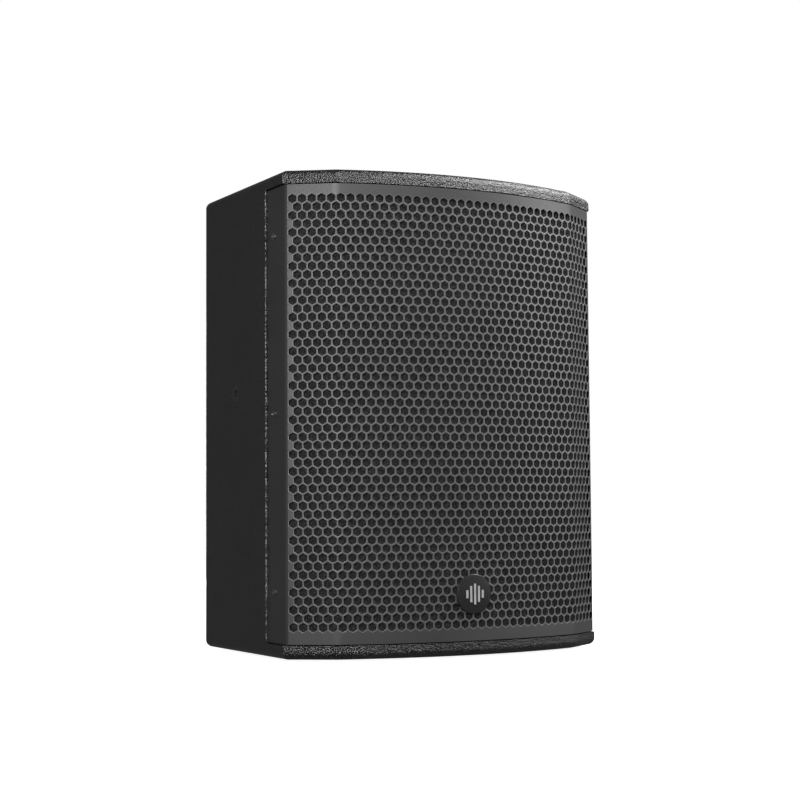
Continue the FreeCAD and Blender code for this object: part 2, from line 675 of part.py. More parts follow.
def make_retainer():
    """A push-on washer that holds the badge's stud from behind the sheet."""
    front = "grille_gauge + retainer_gap"
    retainer = revolve("badge_retainer", "Y", ring(
        "badge_stud + slip_gap", "retainer_radius", front, "%s + retainer_thick" % front))
    place(retainer, 0, "front_peak", "badge_level")


# ---- Woofer ------------------------------------------------------------------------

def woofer_part(label, points):
    """A turned part of the woofer: (radius, distance behind the baffle's front) points."""
    part = revolve(label, "Y", points)
    place(part, 0, "baffle_front", "woofer_level")
    return part


FLANGE_BACK = "-gasket_thick"
FLANGE_FRONT = "-(gasket_thick + basket_flange)"


def make_basket():
    gauge = "basket_gauge"
    basket = woofer_part("woofer_basket", [
        ("basket_lip", FLANGE_FRONT), ("basket_radius", FLANGE_FRONT), ("basket_radius", FLANGE_BACK),
        ("basket_wall", FLANGE_BACK), ("basket_wall", "basket_straight"),
        ("shelf_outer + basket_gauge", "shelf_depth"),
        ("shelf_outer + basket_gauge", "shelf_depth + basket_gauge"),
        ("basket_neck", "shelf_depth + basket_gauge"), ("basket_neck", "basket_depth"),
        ("basket_hole", "basket_depth"), ("basket_hole", "basket_depth - " + gauge),
        ("basket_neck - basket_gauge", "basket_depth - basket_gauge"),
        ("basket_neck - basket_gauge", "shelf_depth"), ("shelf_outer", "shelf_depth"),
        ("basket_wall - basket_gauge", "basket_straight - basket_gauge * 0.4"),
        ("basket_wall - basket_gauge", FLANGE_BACK), ("basket_lip", FLANGE_BACK),
    ])
    corners = []
    ends = (("window_inner", "-"), ("window_outer", "-"), ("window_outer", ""), ("window_inner", ""))
    for radius, side in ends:
        along = "%s * cos(window_half_angle)" % radius
        corners.append((along, "%s%s * sin(window_half_angle)" % (side, radius)))
    window = pocket(basket, "XZ_Plane", "window_front", "window_depth", corners)
    pattern(basket, [window], "Y_Axis", 8)
    holes = [(x, z, "bolt_radius + bolt_clearance") for x, y, z in circle_places("bolt_circle", 8, 22.5)]
    pocket(basket, "XZ_Plane", FLANGE_FRONT, "basket_flange", *holes)
    gasket = woofer_part("woofer_gasket", ring("woofer_cutout", "basket_radius", FLANGE_BACK, 0))
    pocket(gasket, "XZ_Plane", FLANGE_BACK, "gasket_thick", *holes)


def make_cone():
    """The moving half: cone, dust cap, former and coil, with their surround and spider."""
    rim = "(%s - surround_thick)" % FLANGE_FRONT
    neck = "(coil_radius + 2 * glue_gap)"
    woofer_part("woofer_cone", [
        (neck, "cone_neck_depth"), (neck, "cone_neck_depth - cone_paper"),
        ("cone_edge - cone_lip", FLANGE_FRONT), ("cone_edge", FLANGE_FRONT),
        ("cone_edge", FLANGE_FRONT + " + cone_paper * 0.7"),
        ("cone_edge - cone_lip", FLANGE_FRONT + " + cone_paper"),
    ])
    crest = "(%s - surround_rise)" % rim
    middle = "((cone_edge + basket_lip) / 2)"
    woofer_part("woofer_surround", [
        ("cone_edge - surround_glue", rim), ("cone_edge", rim), (middle, crest),
        ("basket_lip", rim), ("surround_lip", rim), ("surround_lip", FLANGE_FRONT),
        ("basket_lip + surround_gap", FLANGE_FRONT), (middle, crest + " + surround_thick * 1.4"),
        ("cone_edge", FLANGE_FRONT + " - surround_gap"),
        ("cone_edge - surround_glue", FLANGE_FRONT + " - surround_gap"),
    ])
    ring_front = rim + " - front_ring_thick"
    woofer_part("woofer_front_ring", ring("basket_lip", "surround_lip", ring_front, rim))
    crown = "cap_depth - cap_rise"
    shoulder = "cap_depth - cap_rise * shoulder_rise"
    woofer_part("woofer_dust_cap", [
        (0, crown), (0, crown + " - cap_thick"),
        ("cap_radius * shoulder_radius", shoulder + " - cap_thick"),
        ("cap_radius", "cap_depth - cap_thick"), ("cap_radius", "cap_depth"),
        ("cap_radius * shoulder_radius", shoulder),
    ])
    former_back = "basket_depth + top_plate_thick / 2 + coil_height / 2"
    woofer_part("woofer_former", ring(
        "coil_radius - former_gauge", "coil_radius",
        "cone_neck_depth - former_lap", former_back + " + former_tail"))
    woofer_part("woofer_coil", ring(
        "coil_radius", "coil_radius + coil_build", former_back + " - coil_height", former_back))


def make_spider():
    """A corrugated ring from the former to the basket's shelf."""
    folds = 8
    inner = "(coil_radius + glue_gap)"
    pitch = "((spider_flat - %s - spider_land) / %d)" % (inner, 2 * folds)
    front, back = [(inner, "spider_depth")], []
    for fold in range(2 * folds + 1):
        radius = "%s + spider_land + %d * %s" % (inner, fold, pitch)
        front.append((radius, "spider_depth - %d * spider_fold" % (fold % 2)))
    front.append(("spider_outer", "spider_depth"))
    for radius, depth in reversed(front):
        back.append((radius, depth + " + spider_thick"))
    woofer_part("woofer_spider", front + back)


def make_motor():
    plate_front = "basket_depth"
    magnet_front = "(basket_depth + top_plate_thick)"
    yoke_front = "(basket_depth + top_plate_thick + magnet_thick)"
    woofer_part("woofer_top_plate", ring("gap_outer", "top_plate_radius", plate_front, magnet_front))
    woofer_part("woofer_magnet", ring("magnet_bore", "magnet_radius", magnet_front, yoke_front))
    woofer_part("woofer_yoke", [
        ("vent_radius", plate_front), ("pole_radius", plate_front), ("pole_radius", yoke_front),
        ("yoke_radius", yoke_front), ("yoke_radius", yoke_front + " + yoke_thick"),
        ("vent_radius", yoke_front + " + yoke_thick"),
    ])


def make_woofer_fasteners():
    """Eight socket-head bolts through the basket's flange, and the tee nuts behind the baffle."""
    bolt = revolve("woofer_bolt", "Y", [
        (0, FLANGE_FRONT + " - bolt_head_height"), ("bolt_head", FLANGE_FRONT + " - bolt_head_height"),
        ("bolt_head", FLANGE_FRONT), ("bolt_radius", FLANGE_FRONT),
        ("bolt_radius", "bolt_length + " + FLANGE_FRONT), (0, "bolt_length + " + FLANGE_FRONT),
    ], kept=False)
    head = FLANGE_FRONT + " - bolt_head_height"
    hexagon = [("bolt_socket * 1.155 * cos(%d)" % angle, "bolt_socket * 1.155 * sin(%d)" % angle)
               for angle in range(0, 360, 60)]
    pocket(bolt, "XZ_Plane", head, "bolt_socket_depth", hexagon)
    spots = [(x, "baffle_front", z) for x, y, z in woofer_bolt_spots()]
    copies("woofer_bolts", bolt, spots)
    back = "baffle_board"
    bore = "(bolt_radius + 0.05)"
    tee = revolve("tee_nut", "Y", [
        (bore, back + " - tee_length"), ("tee_radius", back + " - tee_length"), ("tee_radius", back),
        ("tee_flange", back), ("tee_flange", back + " + tee_flange_thick"),
        (bore, back + " + tee_flange_thick"),
    ], kept=False)
    copies("woofer_tee_nuts", tee, spots)


def make_tag_board():
    """The board on top of the basket's neck that the cable is pushed on to, with its two tags."""
    front, rear = ("baffle_front + basket_depth - tag_board_length", "baffle_front + basket_depth")
    top = "(woofer_level + basket_neck)"
    across = ("-tag_board_width / 2", "tag_board_width / 2")
    over = "(%s + tag_board_thick)" % top
    parts = [block("tag_board", across, (front, rear), (top, over))]
    for side in ("-", ""):
        left = "(%stag_spread - tag_width / 2)" % side
        ends = (left, left + " + tag_width")
        middle = "(baffle_front + basket_depth - tag_board_length / 2)"
        deep = ("%s - tag_thick / 2" % middle, "%s + tag_thick / 2" % middle)
        parts.append(block("tag", ends, deep, (over, over + " + tag_length")))
    group("woofer_terminals", parts)


# ---- Horn and compression driver ---------------------------------------------------

def circle_of_arcs(radius):
    """A circle as four arcs, one for each side of the rectangle it is lofted to."""
    reach = "(%s) * cos(45)" % radius
    signs = (("-", "-"), ("", "-"), ("", ""), ("-", ""))
    return [(x + reach, z + reach, radius) for x, z in signs]


def loft(body, kind, levels, outlines):
    sketches = []
    for level, outline in zip(levels, outlines):
        sketch = new_sketch(body, "XZ_Plane", level)
        draw(sketch, outline)
        sketches.append(sketch)
    feature = body.newObject(kind, "flare")
    feature.Profile = sketches[0]
    feature.Sections = sketches[1:]
    feature.Ruled = True
    doc.recompute()


def make_horn():
    horn = add("PartDesign::Body", "horn")
    front = "-(horn_gasket + horn_flange)"
    plate = box("-horn_half_width", "-horn_half_height", "horn_half_width", "horn_half_height")
    pad(horn, "XZ_Plane", front, "horn_flange", plate)
    half_x, half_z = "(mouth_half_width + horn_wall)", "(mouth_half_height + horn_wall)"
    mouth = box("-" + half_x, "-" + half_z, half_x, half_z)
    throat = circle_of_arcs("(throat_radius + throat_wall)")
    loft(horn, "PartDesign::AdditiveLoft", ("-horn_gasket", "throat_depth"), (mouth, throat))
    pad(horn, "XZ_Plane", "throat_depth", "throat_flange_thick", (0, 0, "throat_flange"))
    inside = box("-mouth_half_width", "-mouth_half_height", "mouth_half_width", "mouth_half_height")
    bore = circle_of_arcs("throat_radius")
    loft(horn, "PartDesign::SubtractiveLoft", (front, "throat_depth"), (inside, bore))
    pocket(horn, "XZ_Plane", "throat_depth", "throat_flange_thick", (0, 0, "throat_radius"))
    shank = "horn_screw_shank + bolt_clearance"
    corners = [(x + "horn_screw_x", z + "horn_screw_z", shank) for x in ("-", "") for z in ("-", "")]
    pocket(horn, "XZ_Plane", front, "horn_flange", *corners)
    bolts = [(x, z, "bolt_radius + bolt_clearance") for x, y, z in driver_bolt_spots()]
    pocket(horn, "XZ_Plane", "throat_depth", "throat_flange_thick", *bolts)
    place(horn, 0, "baffle_front", "horn_level")

    gasket = add("PartDesign::Body", "horn_gasket")
    pad(gasket, "XZ_Plane", "-horn_gasket", "horn_gasket", plate)
    edge_x, edge_z = "(%s + horn_gasket_margin)" % half_x, "(%s + horn_gasket_margin)" % half_z
    opening = box("-" + edge_x, "-" + edge_z, edge_x, edge_z)
    pocket(gasket, "XZ_Plane", "-horn_gasket", "horn_gasket", opening)
    pocket(gasket, "XZ_Plane", "-horn_gasket", "horn_gasket", *corners)
    place(gasket, 0, "baffle_front", "horn_level")

    screw = revolve("horn_screw", "Y", [
        (0, front + " - horn_screw_head_height"),
        ("horn_screw_head * 0.6", front + " - horn_screw_head_height"),
        ("horn_screw_head", front + " - horn_screw_head_height * 0.5"),
        ("horn_screw_head", front), ("horn_screw_shank", front),
        ("horn_screw_shank", front + " + horn_screw_length"), (0, front + " + horn_screw_length"),
    ], kept=False)
    copies("horn_screws", screw, [(x, "baffle_front", z) for x, y, z in horn_screw_spots()])


def driver_bolt_spots():
    return circle_places("driver_bolt_circle", 3, 90)


DRIVER_FRONT = "(throat_depth + throat_flange_thick)"
DRIVER_MAGNET = "(%s + driver_plate)" % DRIVER_FRONT
DRIVER_TOP = "(%s + driver_magnet)" % DRIVER_MAGNET
DRIVER_BACK = "(%s + driver_top_plate)" % DRIVER_TOP
DOME_PLANE = "(%s + clamp_height)" % DRIVER_BACK


def driver_part(label, points):
    part = revolve(label, "Y", points)
    place(part, 0, "baffle_front", "horn_level")
    return part


def make_driver():
    yoke = driver_part("driver_yoke", [
        ("throat_radius", DRIVER_FRONT), ("driver_radius", DRIVER_FRONT),
        ("driver_radius", DRIVER_MAGNET), ("driver_pole", DRIVER_MAGNET),
        ("driver_pole", DRIVER_BACK + " + driver_pole_rise"),
        ("driver_pole_mouth", DRIVER_BACK + " + driver_pole_rise"),
    ])
    bolts = [(x, z, "bolt_radius + glue_gap") for x, y, z in driver_bolt_spots()]
    pocket(yoke, "XZ_Plane", DRIVER_FRONT, "driver_plate", *bolts)
    driver_part("driver_magnet", ring("driver_magnet_bore", "driver_radius", DRIVER_MAGNET, DRIVER_TOP))
    driver_part("driver_top_plate", ring("driver_gap_outer", "driver_radius", DRIVER_TOP, DRIVER_BACK))
    tip = DOME_PLANE + " - plug_clearance"
    driver_part("driver_phase_plug", [
        (0, DRIVER_TOP), ("plug_radius * 0.75", DRIVER_BACK),
        ("plug_radius", DRIVER_BACK + " + plug_foot"),
        ("plug_radius * 0.7", tip + " + plug_shoulder"), (0, tip + " + plug_tip"),
    ])
    outside = "(driver_coil + driver_former)"
    driver_part("driver_diaphragm", [
        (0, DOME_PLANE + " + dome_rise"),
        ("driver_coil * shoulder_radius", DOME_PLANE + " + dome_rise * shoulder_rise"),
        ("driver_coil", DOME_PLANE), (outside, DOME_PLANE), (outside, DOME_PLANE + " + dome_thick"),
        ("driver_coil * shoulder_radius", DOME_PLANE + " + dome_rise * shoulder_rise + dome_thick"),
        (0, DOME_PLANE + " + dome_rise + dome_thick"),
    ])
    coil_front = DRIVER_TOP + " - driver_coil_lead"
    driver_part("driver_voice_coil", [
        ("driver_coil", coil_front), (outside + " + driver_winding", coil_front),
        (outside + " + driver_winding", coil_front + " + driver_coil_height"),
        (outside, coil_front + " + driver_coil_height"), (outside, DOME_PLANE),
        ("driver_coil", DOME_PLANE),
    ])
    driver_part("driver_suspension", ring(
        outside + " + slip_gap", "suspension_outer", DOME_PLANE, DOME_PLANE + " + dome_thick"))
    driver_part("driver_clamp_ring", ring("clamp_inner", "clamp_outer", DRIVER_BACK, DOME_PLANE))
    back = "(%s + cover_depth)" % DRIVER_BACK
    driver_part("driver_rear_cover", [
        ("driver_radius - cover_wall", DRIVER_BACK), ("driver_radius", DRIVER_BACK),
        ("driver_radius", back + " - cover_edge"), ("driver_radius - cover_edge", back), (0, back),
        (0, back + " - cover_wall"), ("driver_radius - cover_edge_inside", back + " - cover_wall"),
        ("driver_radius - cover_wall", back + " - cover_edge_inside"),
    ])
    bolt = revolve("driver_bolt", "Y", [
        (0, "throat_depth - bolt_head_height"), ("bolt_head", "throat_depth - bolt_head_height"),
        ("bolt_head", "throat_depth"), ("bolt_radius", "throat_depth"),
        ("bolt_radius", "throat_depth + driver_bolt_length"), (0, "throat_depth + driver_bolt_length"),
    ], kept=False)
    spots = circle_places("driver_bolt_circle", 3, 90, y="baffle_front", z="horn_level")
    copies("driver_bolts", bolt, spots)


def make_ports():
    outer = "(port_radius + port_wall)"
    tube = revolve("port_tube", "Y", [
        ("port_radius + port_flare", "-port_flange_thick"),
        ("port_flange - port_flange_round", "-port_flange_thick"),
        ("port_flange", "port_flange_round - port_flange_thick"), ("port_flange", 0), (outer, 0),
        (outer, "port_length"), ("port_radius", "port_length"),
        ("port_radius", "port_flare - port_flange_thick", "port_flare"),
    ], kept=False)
    spots = [(side + "port_x", "baffle_front", "horn_level") for side in ("-", "")]
    copies("port_tubes", tube, spots)


# ---- Crossover ---------------------------------------------------------------------

BOARD_REAR = "(%s - standoff)" % REAR_INSIDE
BOARD_FRONT = "(%s - standoff - board_thick)" % REAR_INSIDE


def board_corners():
    across = "(board_half - standoff_inset)"
    spots = []
    for side in ("-", ""):
        for level in ("board_level + standoff_inset", "board_level + board_height - standoff_inset"):
            spots.append((side + across, level))
    return spots


def make_crossover():
    board = add("PartDesign::Body", "crossover_board")
    outline = box("-board_half", "board_level", "board_half", "board_level + board_height")
    pad(board, "XZ_Plane", BOARD_FRONT, "board_thick", outline)
    holes = [spot + ("board_screw + glue_gap",) for spot in board_corners()]
    pocket(board, "XZ_Plane", BOARD_FRONT, "board_thick", *holes)
    sleeve = ring("board_screw + glue_gap", "standoff_radius", 0, "standoff")
    stand = revolve("standoff", "Y", sleeve, kept=False)
    stands = copies("standoffs", stand, [(x, BOARD_REAR, z) for x, z in board_corners()], kept=False)
    screw = revolve("board_screw", "Y", [
        (0, "-board_screw_head_height"), ("board_screw_head", "-board_screw_head_height"),
        ("board_screw_head", 0), ("board_screw", 0), ("board_screw", "standoff + board_thick"),
        (0, "standoff + board_thick"),
    ], kept=False)
    screws = copies("board_screws", screw, [(x, BOARD_FRONT, z) for x, z in board_corners()], kept=False)
    group("crossover_mountings", stands.Links + screws.Links)

    face = "(%s - part_gap)" % BOARD_FRONT
    winding = ring("inductor_bore", "inductor_radius", "-inductor_height", 0)
    coil = revolve("inductor", "Y", winding, kept=False)
    high = "board_level + board_height - inductor_radius - inductor_margin"
    copies("crossover_inductors", coil, [("inductor_left", face, high), ("inductor_right", face, high)])
    can = revolve("capacitor", "X", ring(0, "capacitor_radius", 0, "capacitor_length"), kept=False)
    low = "board_level + capacitor_radius + part_margin"
    middle = "%s - capacitor_radius" % face
    spots = [("capacitor_left", middle, low), ("capacitor_right", middle, low)]
    copies("crossover_capacitors", can, spots)
    resistors = []
    for index in range(2):
        level = "(board_level + resistor_margin + %d * (resistor_width + part_margin))" % index
        resistors.append(block(
            "resistor", ("resistor_left", "resistor_left + resistor_length"),
            ("%s - resistor_width" % face, face), (level, level + " + resistor_width")))
    group("crossover_resistors", resistors)


# ---- Terminal plate ----------------------------------------------------------------

PLATE_FRONT = "(rear_face - plate_recess + plate_gasket)"
PLATE_REAR = "(rear_face - plate_recess + plate_gasket + plate_gauge)"


def socket_spots():
    return [("-socket_x", PLATE_REAR, "plate_level"), ("socket_x", PLATE_REAR, "plate_level")]


def socket_screw_spots():
    spots = []
    for x, y, z in socket_spots():
        for side, end in (("-", ""), ("", "-")):
            spots.append(("%s + (%ssocket_screw_x)" % (x, side), y, "%s + (%ssocket_screw_z)" % (z, end)))
    return spots


def make_terminal_plate():
    outline = box("-plate_half_width", "plate_level - plate_half_height",
                  "plate_half_width", "plate_level + plate_half_height")
    holes = [spot + ("plate_screw_shank + glue_gap",) for spot in plate_screw_spots()]
    plate = add("PartDesign::Body", "terminal_plate")
    pad(plate, "XZ_Plane", PLATE_FRONT, "plate_gauge", outline)
    pocket(plate, "XZ_Plane", PLATE_FRONT, "plate_gauge", *holes)
    barrels = [(x, z, "socket_barrel + glue_gap") for x, y, z in socket_spots()]
    pilots = [(x, z, "socket_screw_shank + glue_gap") for x, y, z in socket_screw_spots()]
    pocket(plate, "XZ_Plane", PLATE_FRONT, "plate_gauge", *(barrels + pilots))

    gasket = add("PartDesign::Body", "terminal_gasket")
    seat = "rear_face - plate_recess"
    pad(gasket, "XZ_Plane", seat, "plate_gasket", outline)
    open_x, open_z = "(plate_half_width - plate_land)", "(plate_half_height - plate_land)"
    opening = box("-" + open_x, "plate_level - " + open_z, open_x, "plate_level + " + open_z)
    pocket(gasket, "XZ_Plane", seat, "plate_gasket", opening)
    pocket(gasket, "XZ_Plane", seat, "plate_gasket", *holes)

    screw = revolve("plate_screw", "Y", [
        (0, "-plate_screw_length"), ("plate_screw_shank", "-plate_screw_length"),
        ("plate_screw_shank", 0), ("plate_screw_head", 0),
        ("plate_screw_head", "plate_screw_head_height * 0.4"),
        ("plate_screw_head * 0.6", "plate_screw_head_height"), (0, "plate_screw_head_height"),
    ], kept=False)
    copies("terminal_screws", screw, [(x, PLATE_REAR, z) for x, z in plate_screw_spots()])


def make_sockets():
    """Two round 4-pole locking sockets: a square flange, and a well round a middle post."""
    socket = add("PartDesign::Body", "speaker_socket", kept=False)
    outline = box("-socket_half_width", "-socket_half_height", "socket_half_width", "socket_half_height")
    pad(socket, "XZ_Plane", 0, "socket_flange", outline)
    pad(socket, "XZ_Plane", "-socket_depth", "socket_depth", (0, 0, "socket_barrel"))
    floor = "socket_flange - socket_well_depth"
    pocket(socket, "XZ_Plane", floor, "socket_well_depth", (0, 0, "socket_well"), (0, 0, "socket_post"))
    spots = [("%ssocket_screw_x" % side, "%ssocket_screw_z" % end, "socket_screw_shank + glue_gap")
             for side, end in (("-", ""), ("", "-"))]
    pocket(socket, "XZ_Plane", 0, "socket_flange", *spots)
    copies("speaker_sockets", socket, socket_spots())
    screw = revolve("socket_screw", "Y", [
        (0, "-socket_screw_length"), ("socket_screw_shank", "-socket_screw_length"),
        ("socket_screw_shank", "socket_flange"), ("socket_screw_head", "socket_flange"),
        ("socket_screw_head", "socket_flange + socket_screw_head_height"),
        (0, "socket_flange + socket_screw_head_height"),
    ], kept=False)
    copies("socket_screws", screw, socket_screw_spots())


# ---- Rigging inserts and pole socket -----------------------------------------------

def make_inserts():
    """M10 inserts, flush with the side walls and with the top."""
    profile = [
        ("insert_bore", "-ply"), ("insert_barrel", "-ply"), ("insert_barrel", "-insert_flange_thick"),
        ("insert_flange", "-insert_flange_thick"), ("insert_flange", 0), ("insert_bore", 0),
    ]
    side = revolve("side_insert", "X", profile, kept=False)
    spots = [("half_width", "insert_y", "insert_level"), ("-half_width", "insert_y", "insert_level")]
    copies("side_rigging_inserts", side, spots, turned=lambda spot: spot[0].startswith("-"))
    top = revolve("top_insert", "Z", profile, kept=False)
    spots = [("-top_insert_x", "insert_y", TOP), ("top_insert_x", "insert_y", TOP)]
    copies("top_rigging_inserts", top, spots)


def make_pole_socket():
    tube = "(pole_bore + pole_tube_wall)"
    socket = revolve("pole_socket", "Z", [
        ("pole_bore", 0), ("pole_flange", 0), ("pole_flange", "pole_flange_thick"),
        (tube, "pole_flange_thick"), (tube, "pole_depth + pole_tube_wall"),
        (0, "pole_depth + pole_tube_wall"), (0, "pole_depth"), ("pole_bore", "pole_depth"),
    ])
    place(socket, 0, "pole_y", "foot_height")
    spots = [(x, y.replace("pole_y + ", "")) for x, y in pole_screw_spots()]
    holes = [spot + ("pole_screw_shank + bolt_clearance",) for spot in spots]
    pocket(socket, "XY_Plane", 0, "pole_flange_thick", *holes)
    heads = [spot + ("pole_screw_head + glue_gap",) for spot in spots]
    pocket(socket, "XY_Plane", 0, "pole_flange_thick * 0.6", *heads)
    screw = revolve("pole_screw", "Z", [
        (0, 0), ("pole_screw_head", 0), ("pole_screw_head", "pole_flange_thick * 0.6"),
        ("pole_screw_shank", "pole_flange_thick * 0.6"), ("pole_screw_shank", "pole_screw_length"),
        (0, "pole_screw_length"),
    ], kept=False)
    copies("pole_socket_screws", screw, [(x, y, "foot_height") for x, y in pole_screw_spots()])


# ---- Internal cables ---------------------------------------------------------------

def tube_along(points, radius):
    """A round cable along straight runs joined by tangent arcs, each as large as its runs allow."""
    edges = []
    here = points[0]
    for before, corner, after in zip(points, points[1:], points[2:]):
        back, ahead = (before - corner).normalize(), (after - corner).normalize()
        half = back.getAngle(ahead) / 2
        cut = 0.45 * min((corner - before).Length, (after - corner).Length)
        start, end = corner + back * cut, corner + ahead * cut
        arc_radius = cut * math.tan(half)
        bisector = (back + ahead).normalize()
        centre = corner + bisector * (arc_radius / math.sin(half))
        middle = centre - bisector * arc_radius
        edges.append(Part.LineSegment(here, start).toShape())
        edges.append(Part.Arc(start, middle, end).toShape())
        here = end
    edges.append(Part.LineSegment(here, points[-1]).toShape())
    path = Part.Wire(edges)
    circle = Part.Circle(points[0], points[1] - points[0], radius).toShape()
    solid = path.makePipeShell([Part.Wire(circle)], True, False)
    if abs(solid.Volume - math.pi * radius ** 2 * path.Length) > 0.01 * solid.Volume:
        raise RuntimeError("a cable's volume is wrong")
    return solid


def make_cables():
    """Two-core cables from the sockets to the crossover, and from it to each driver."""
    gap = value("part_gap")
    board = value(BOARD_FRONT) - gap
    plate = value(PLATE_REAR) - value("socket_depth") - gap
    level = value("plate_level")
    socket = value("socket_x")
    tag_top = value("woofer_level + basket_neck + tag_board_thick + tag_length") + gap
    tag_x = value("tag_spread")
    tag_y = value("baffle_front + basket_depth - tag_board_length / 2")
    driver_y = value("baffle_front + %s + driver_magnet / 2" % DRIVER_MAGNET)
    driver_x = value("driver_radius") + gap
    horn = value("horn_level")
    routes = [
        [Vector(socket, plate, level), Vector(socket, plate - 22, level), Vector(40, 82, level + 40),
         Vector(56, 80, level + 85), Vector(65, 88, level + 125), Vector(65, 98, level + 148),
         Vector(65, board, level + 148)],
        [Vector(-72, board, 240), Vector(-72, 98, 240), Vector(-66, 76, 262), Vector(-48, 50, 288),
         Vector(-26, 24, 303), Vector(-tag_x, tag_y + 12, 304), Vector(-tag_x, tag_y, 294),
         Vector(-tag_x, tag_y, tag_top)],
        [Vector(72, board, 268), Vector(72, 98, 268), Vector(76, 80, 292), Vector(80, 70, 330),
         Vector(82, 54, 372), Vector(82, 34, 406), Vector(74, driver_y, horn),
         Vector(driver_x, driver_y, horn)],
    ]
    solids = [tube_along(route, value("cable_radius")) for route in routes]
    cables = add("Part::Feature", "internal_cables")
    cables.Shape = Part.Compound(solids)
    cables.Placement = Placement()


# ---- Build, check and write --------------------------------------------------------

STEPS = (
    make_top_panel, make_bottom_panel, make_side_panels, make_rear_panel, make_baffle,
    make_cleats_and_brace, make_feet, make_wadding,
    make_grille, make_grille_screws, make_badge, make_retainer,
    make_basket, make_cone, make_spider, make_motor, make_woofer_fasteners, make_tag_board,
    make_horn, make_driver, make_ports, make_crossover, make_terminal_plate, make_sockets,
    make_inserts, make_pole_socket, make_cables,
)
for step in STEPS:
    step()
doc.recompute()

for item in doc.Objects:
    if "Invalid" in item.State or "Error" in item.State:
        raise RuntimeError("%s has failed: %s" % (item.Label, item.State))
for node in nodes:
    if node.Shape.isNull() or not node.Shape.isValid() or not node.Shape.Solids:
        raise RuntimeError("%s has no valid solid" % node.Label)

os.makedirs("parts", exist_ok=True)
for node in nodes:
    node.Shape.exportStep("parts/%s.step" % node.Label)
print("%d nodes, %d solids" % (len(nodes), sum(len(node.Shape.Solids) for node in nodes)))
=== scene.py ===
import json
import math

import bpy
from mathutils import Matrix, Vector, noise


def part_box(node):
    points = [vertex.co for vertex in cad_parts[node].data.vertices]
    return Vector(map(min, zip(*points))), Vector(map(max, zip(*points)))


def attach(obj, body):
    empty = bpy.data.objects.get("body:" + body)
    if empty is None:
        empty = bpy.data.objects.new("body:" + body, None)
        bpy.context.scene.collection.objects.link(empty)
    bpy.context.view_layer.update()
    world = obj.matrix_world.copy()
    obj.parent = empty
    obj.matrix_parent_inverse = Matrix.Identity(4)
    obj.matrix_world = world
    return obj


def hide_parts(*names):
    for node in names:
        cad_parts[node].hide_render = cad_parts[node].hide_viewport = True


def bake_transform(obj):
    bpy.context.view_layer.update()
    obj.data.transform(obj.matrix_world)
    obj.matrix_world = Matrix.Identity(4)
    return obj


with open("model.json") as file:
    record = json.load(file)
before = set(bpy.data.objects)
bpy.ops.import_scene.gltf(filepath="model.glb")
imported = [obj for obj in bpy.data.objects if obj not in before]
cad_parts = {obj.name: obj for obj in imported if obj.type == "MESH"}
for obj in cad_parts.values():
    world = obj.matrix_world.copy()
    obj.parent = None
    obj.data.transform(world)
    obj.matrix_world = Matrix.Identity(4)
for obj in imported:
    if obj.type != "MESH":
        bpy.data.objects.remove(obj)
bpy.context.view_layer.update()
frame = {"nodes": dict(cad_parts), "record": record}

NODES = frame["nodes"]
SLOTS = {entry["node"]: entry["material_slot"] for entry in frame["record"]["subparts"]}
MM = 0.001


# ---- Places read from the frame ----------------------------------------------------

GRILLE_LOW, GRILLE_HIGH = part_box("grille")
SIDE_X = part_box("top_panel")[1].x
WALL_LOW_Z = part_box("left_side_panel")[0].z
WALL_HIGH_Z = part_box("left_side_panel")[1].z
FLANGE_X = GRILLE_HIGH.x
FRONT_Y = GRILLE_LOW.y
GAUGE = 1.5 * MM

# The front's plan: a wide arc between two creases, and a flat facet on each side of it.
ARC_RADIUS = 434.9 * MM
ARC_HALF_ANGLE = math.radians(20.06)
FACET_ANGLE = math.radians(34.5)
ARC_HALF_LENGTH = ARC_RADIUS * ARC_HALF_ANGLE
CREASE_X = ARC_RADIUS * math.sin(ARC_HALF_ANGLE)
CREASE_Y = FRONT_Y + ARC_RADIUS * (1 - math.cos(ARC_HALF_ANGLE))

# The bend between the facet and the flange that lies along the cabinet's side.
BEND_RADIUS = 7 * MM
BEND_ANGLE = math.pi / 2 - FACET_ANGLE
BEND_CUT = BEND_RADIUS * math.tan(BEND_ANGLE / 2)
FACET_LENGTH = (FLANGE_X - CREASE_X) / math.cos(FACET_ANGLE) - BEND_CUT
BEND_START = ARC_HALF_LENGTH + FACET_LENGTH
BEND_END = BEND_START + BEND_RADIUS * BEND_ANGLE
BEND_END_Y = CREASE_Y + (FLANGE_X - CREASE_X) * math.tan(FACET_ANGLE) + BEND_CUT
FLANGE_END = BEND_END + GRILLE_HIGH.y - BEND_END_Y

# The perforation: pointed-top hexagons in rows, odd rows half a pitch along.
PITCH = 10.5 * MM
ROW_PITCH = PITCH * math.sqrt(3) / 2
CELL_REACH = PITCH / math.sqrt(3)
ROWS = 51
HALF_COLUMNS = 19
MIDDLE_ROW_Z = 264.2 * MM
MARGIN_START = PITCH * (HALF_COLUMNS + 0.5) + 0.1 * MM
HOLE_FLATS = 8.4 * MM
HOLE_CORNER = 0.09
HOLE_ROLL = 0.18 * MM
SHEET_GAP = 0.5 * MM
BEND_STEPS = 8
FLANGE_STEPS = 4

# Painted light on each part of the sheet: painted shade in the holes, none on the plain sheet, a painted
# highlight on the bars.
HOLE_PAINTED_SHADE, NO_PAINTED_LIGHT, BAR_PAINTED_HIGHLIGHT = -1, 0, 1


# ---- Node helpers ------------------------------------------------------------------

NOISE_RANGE = (0.3, 0.7)


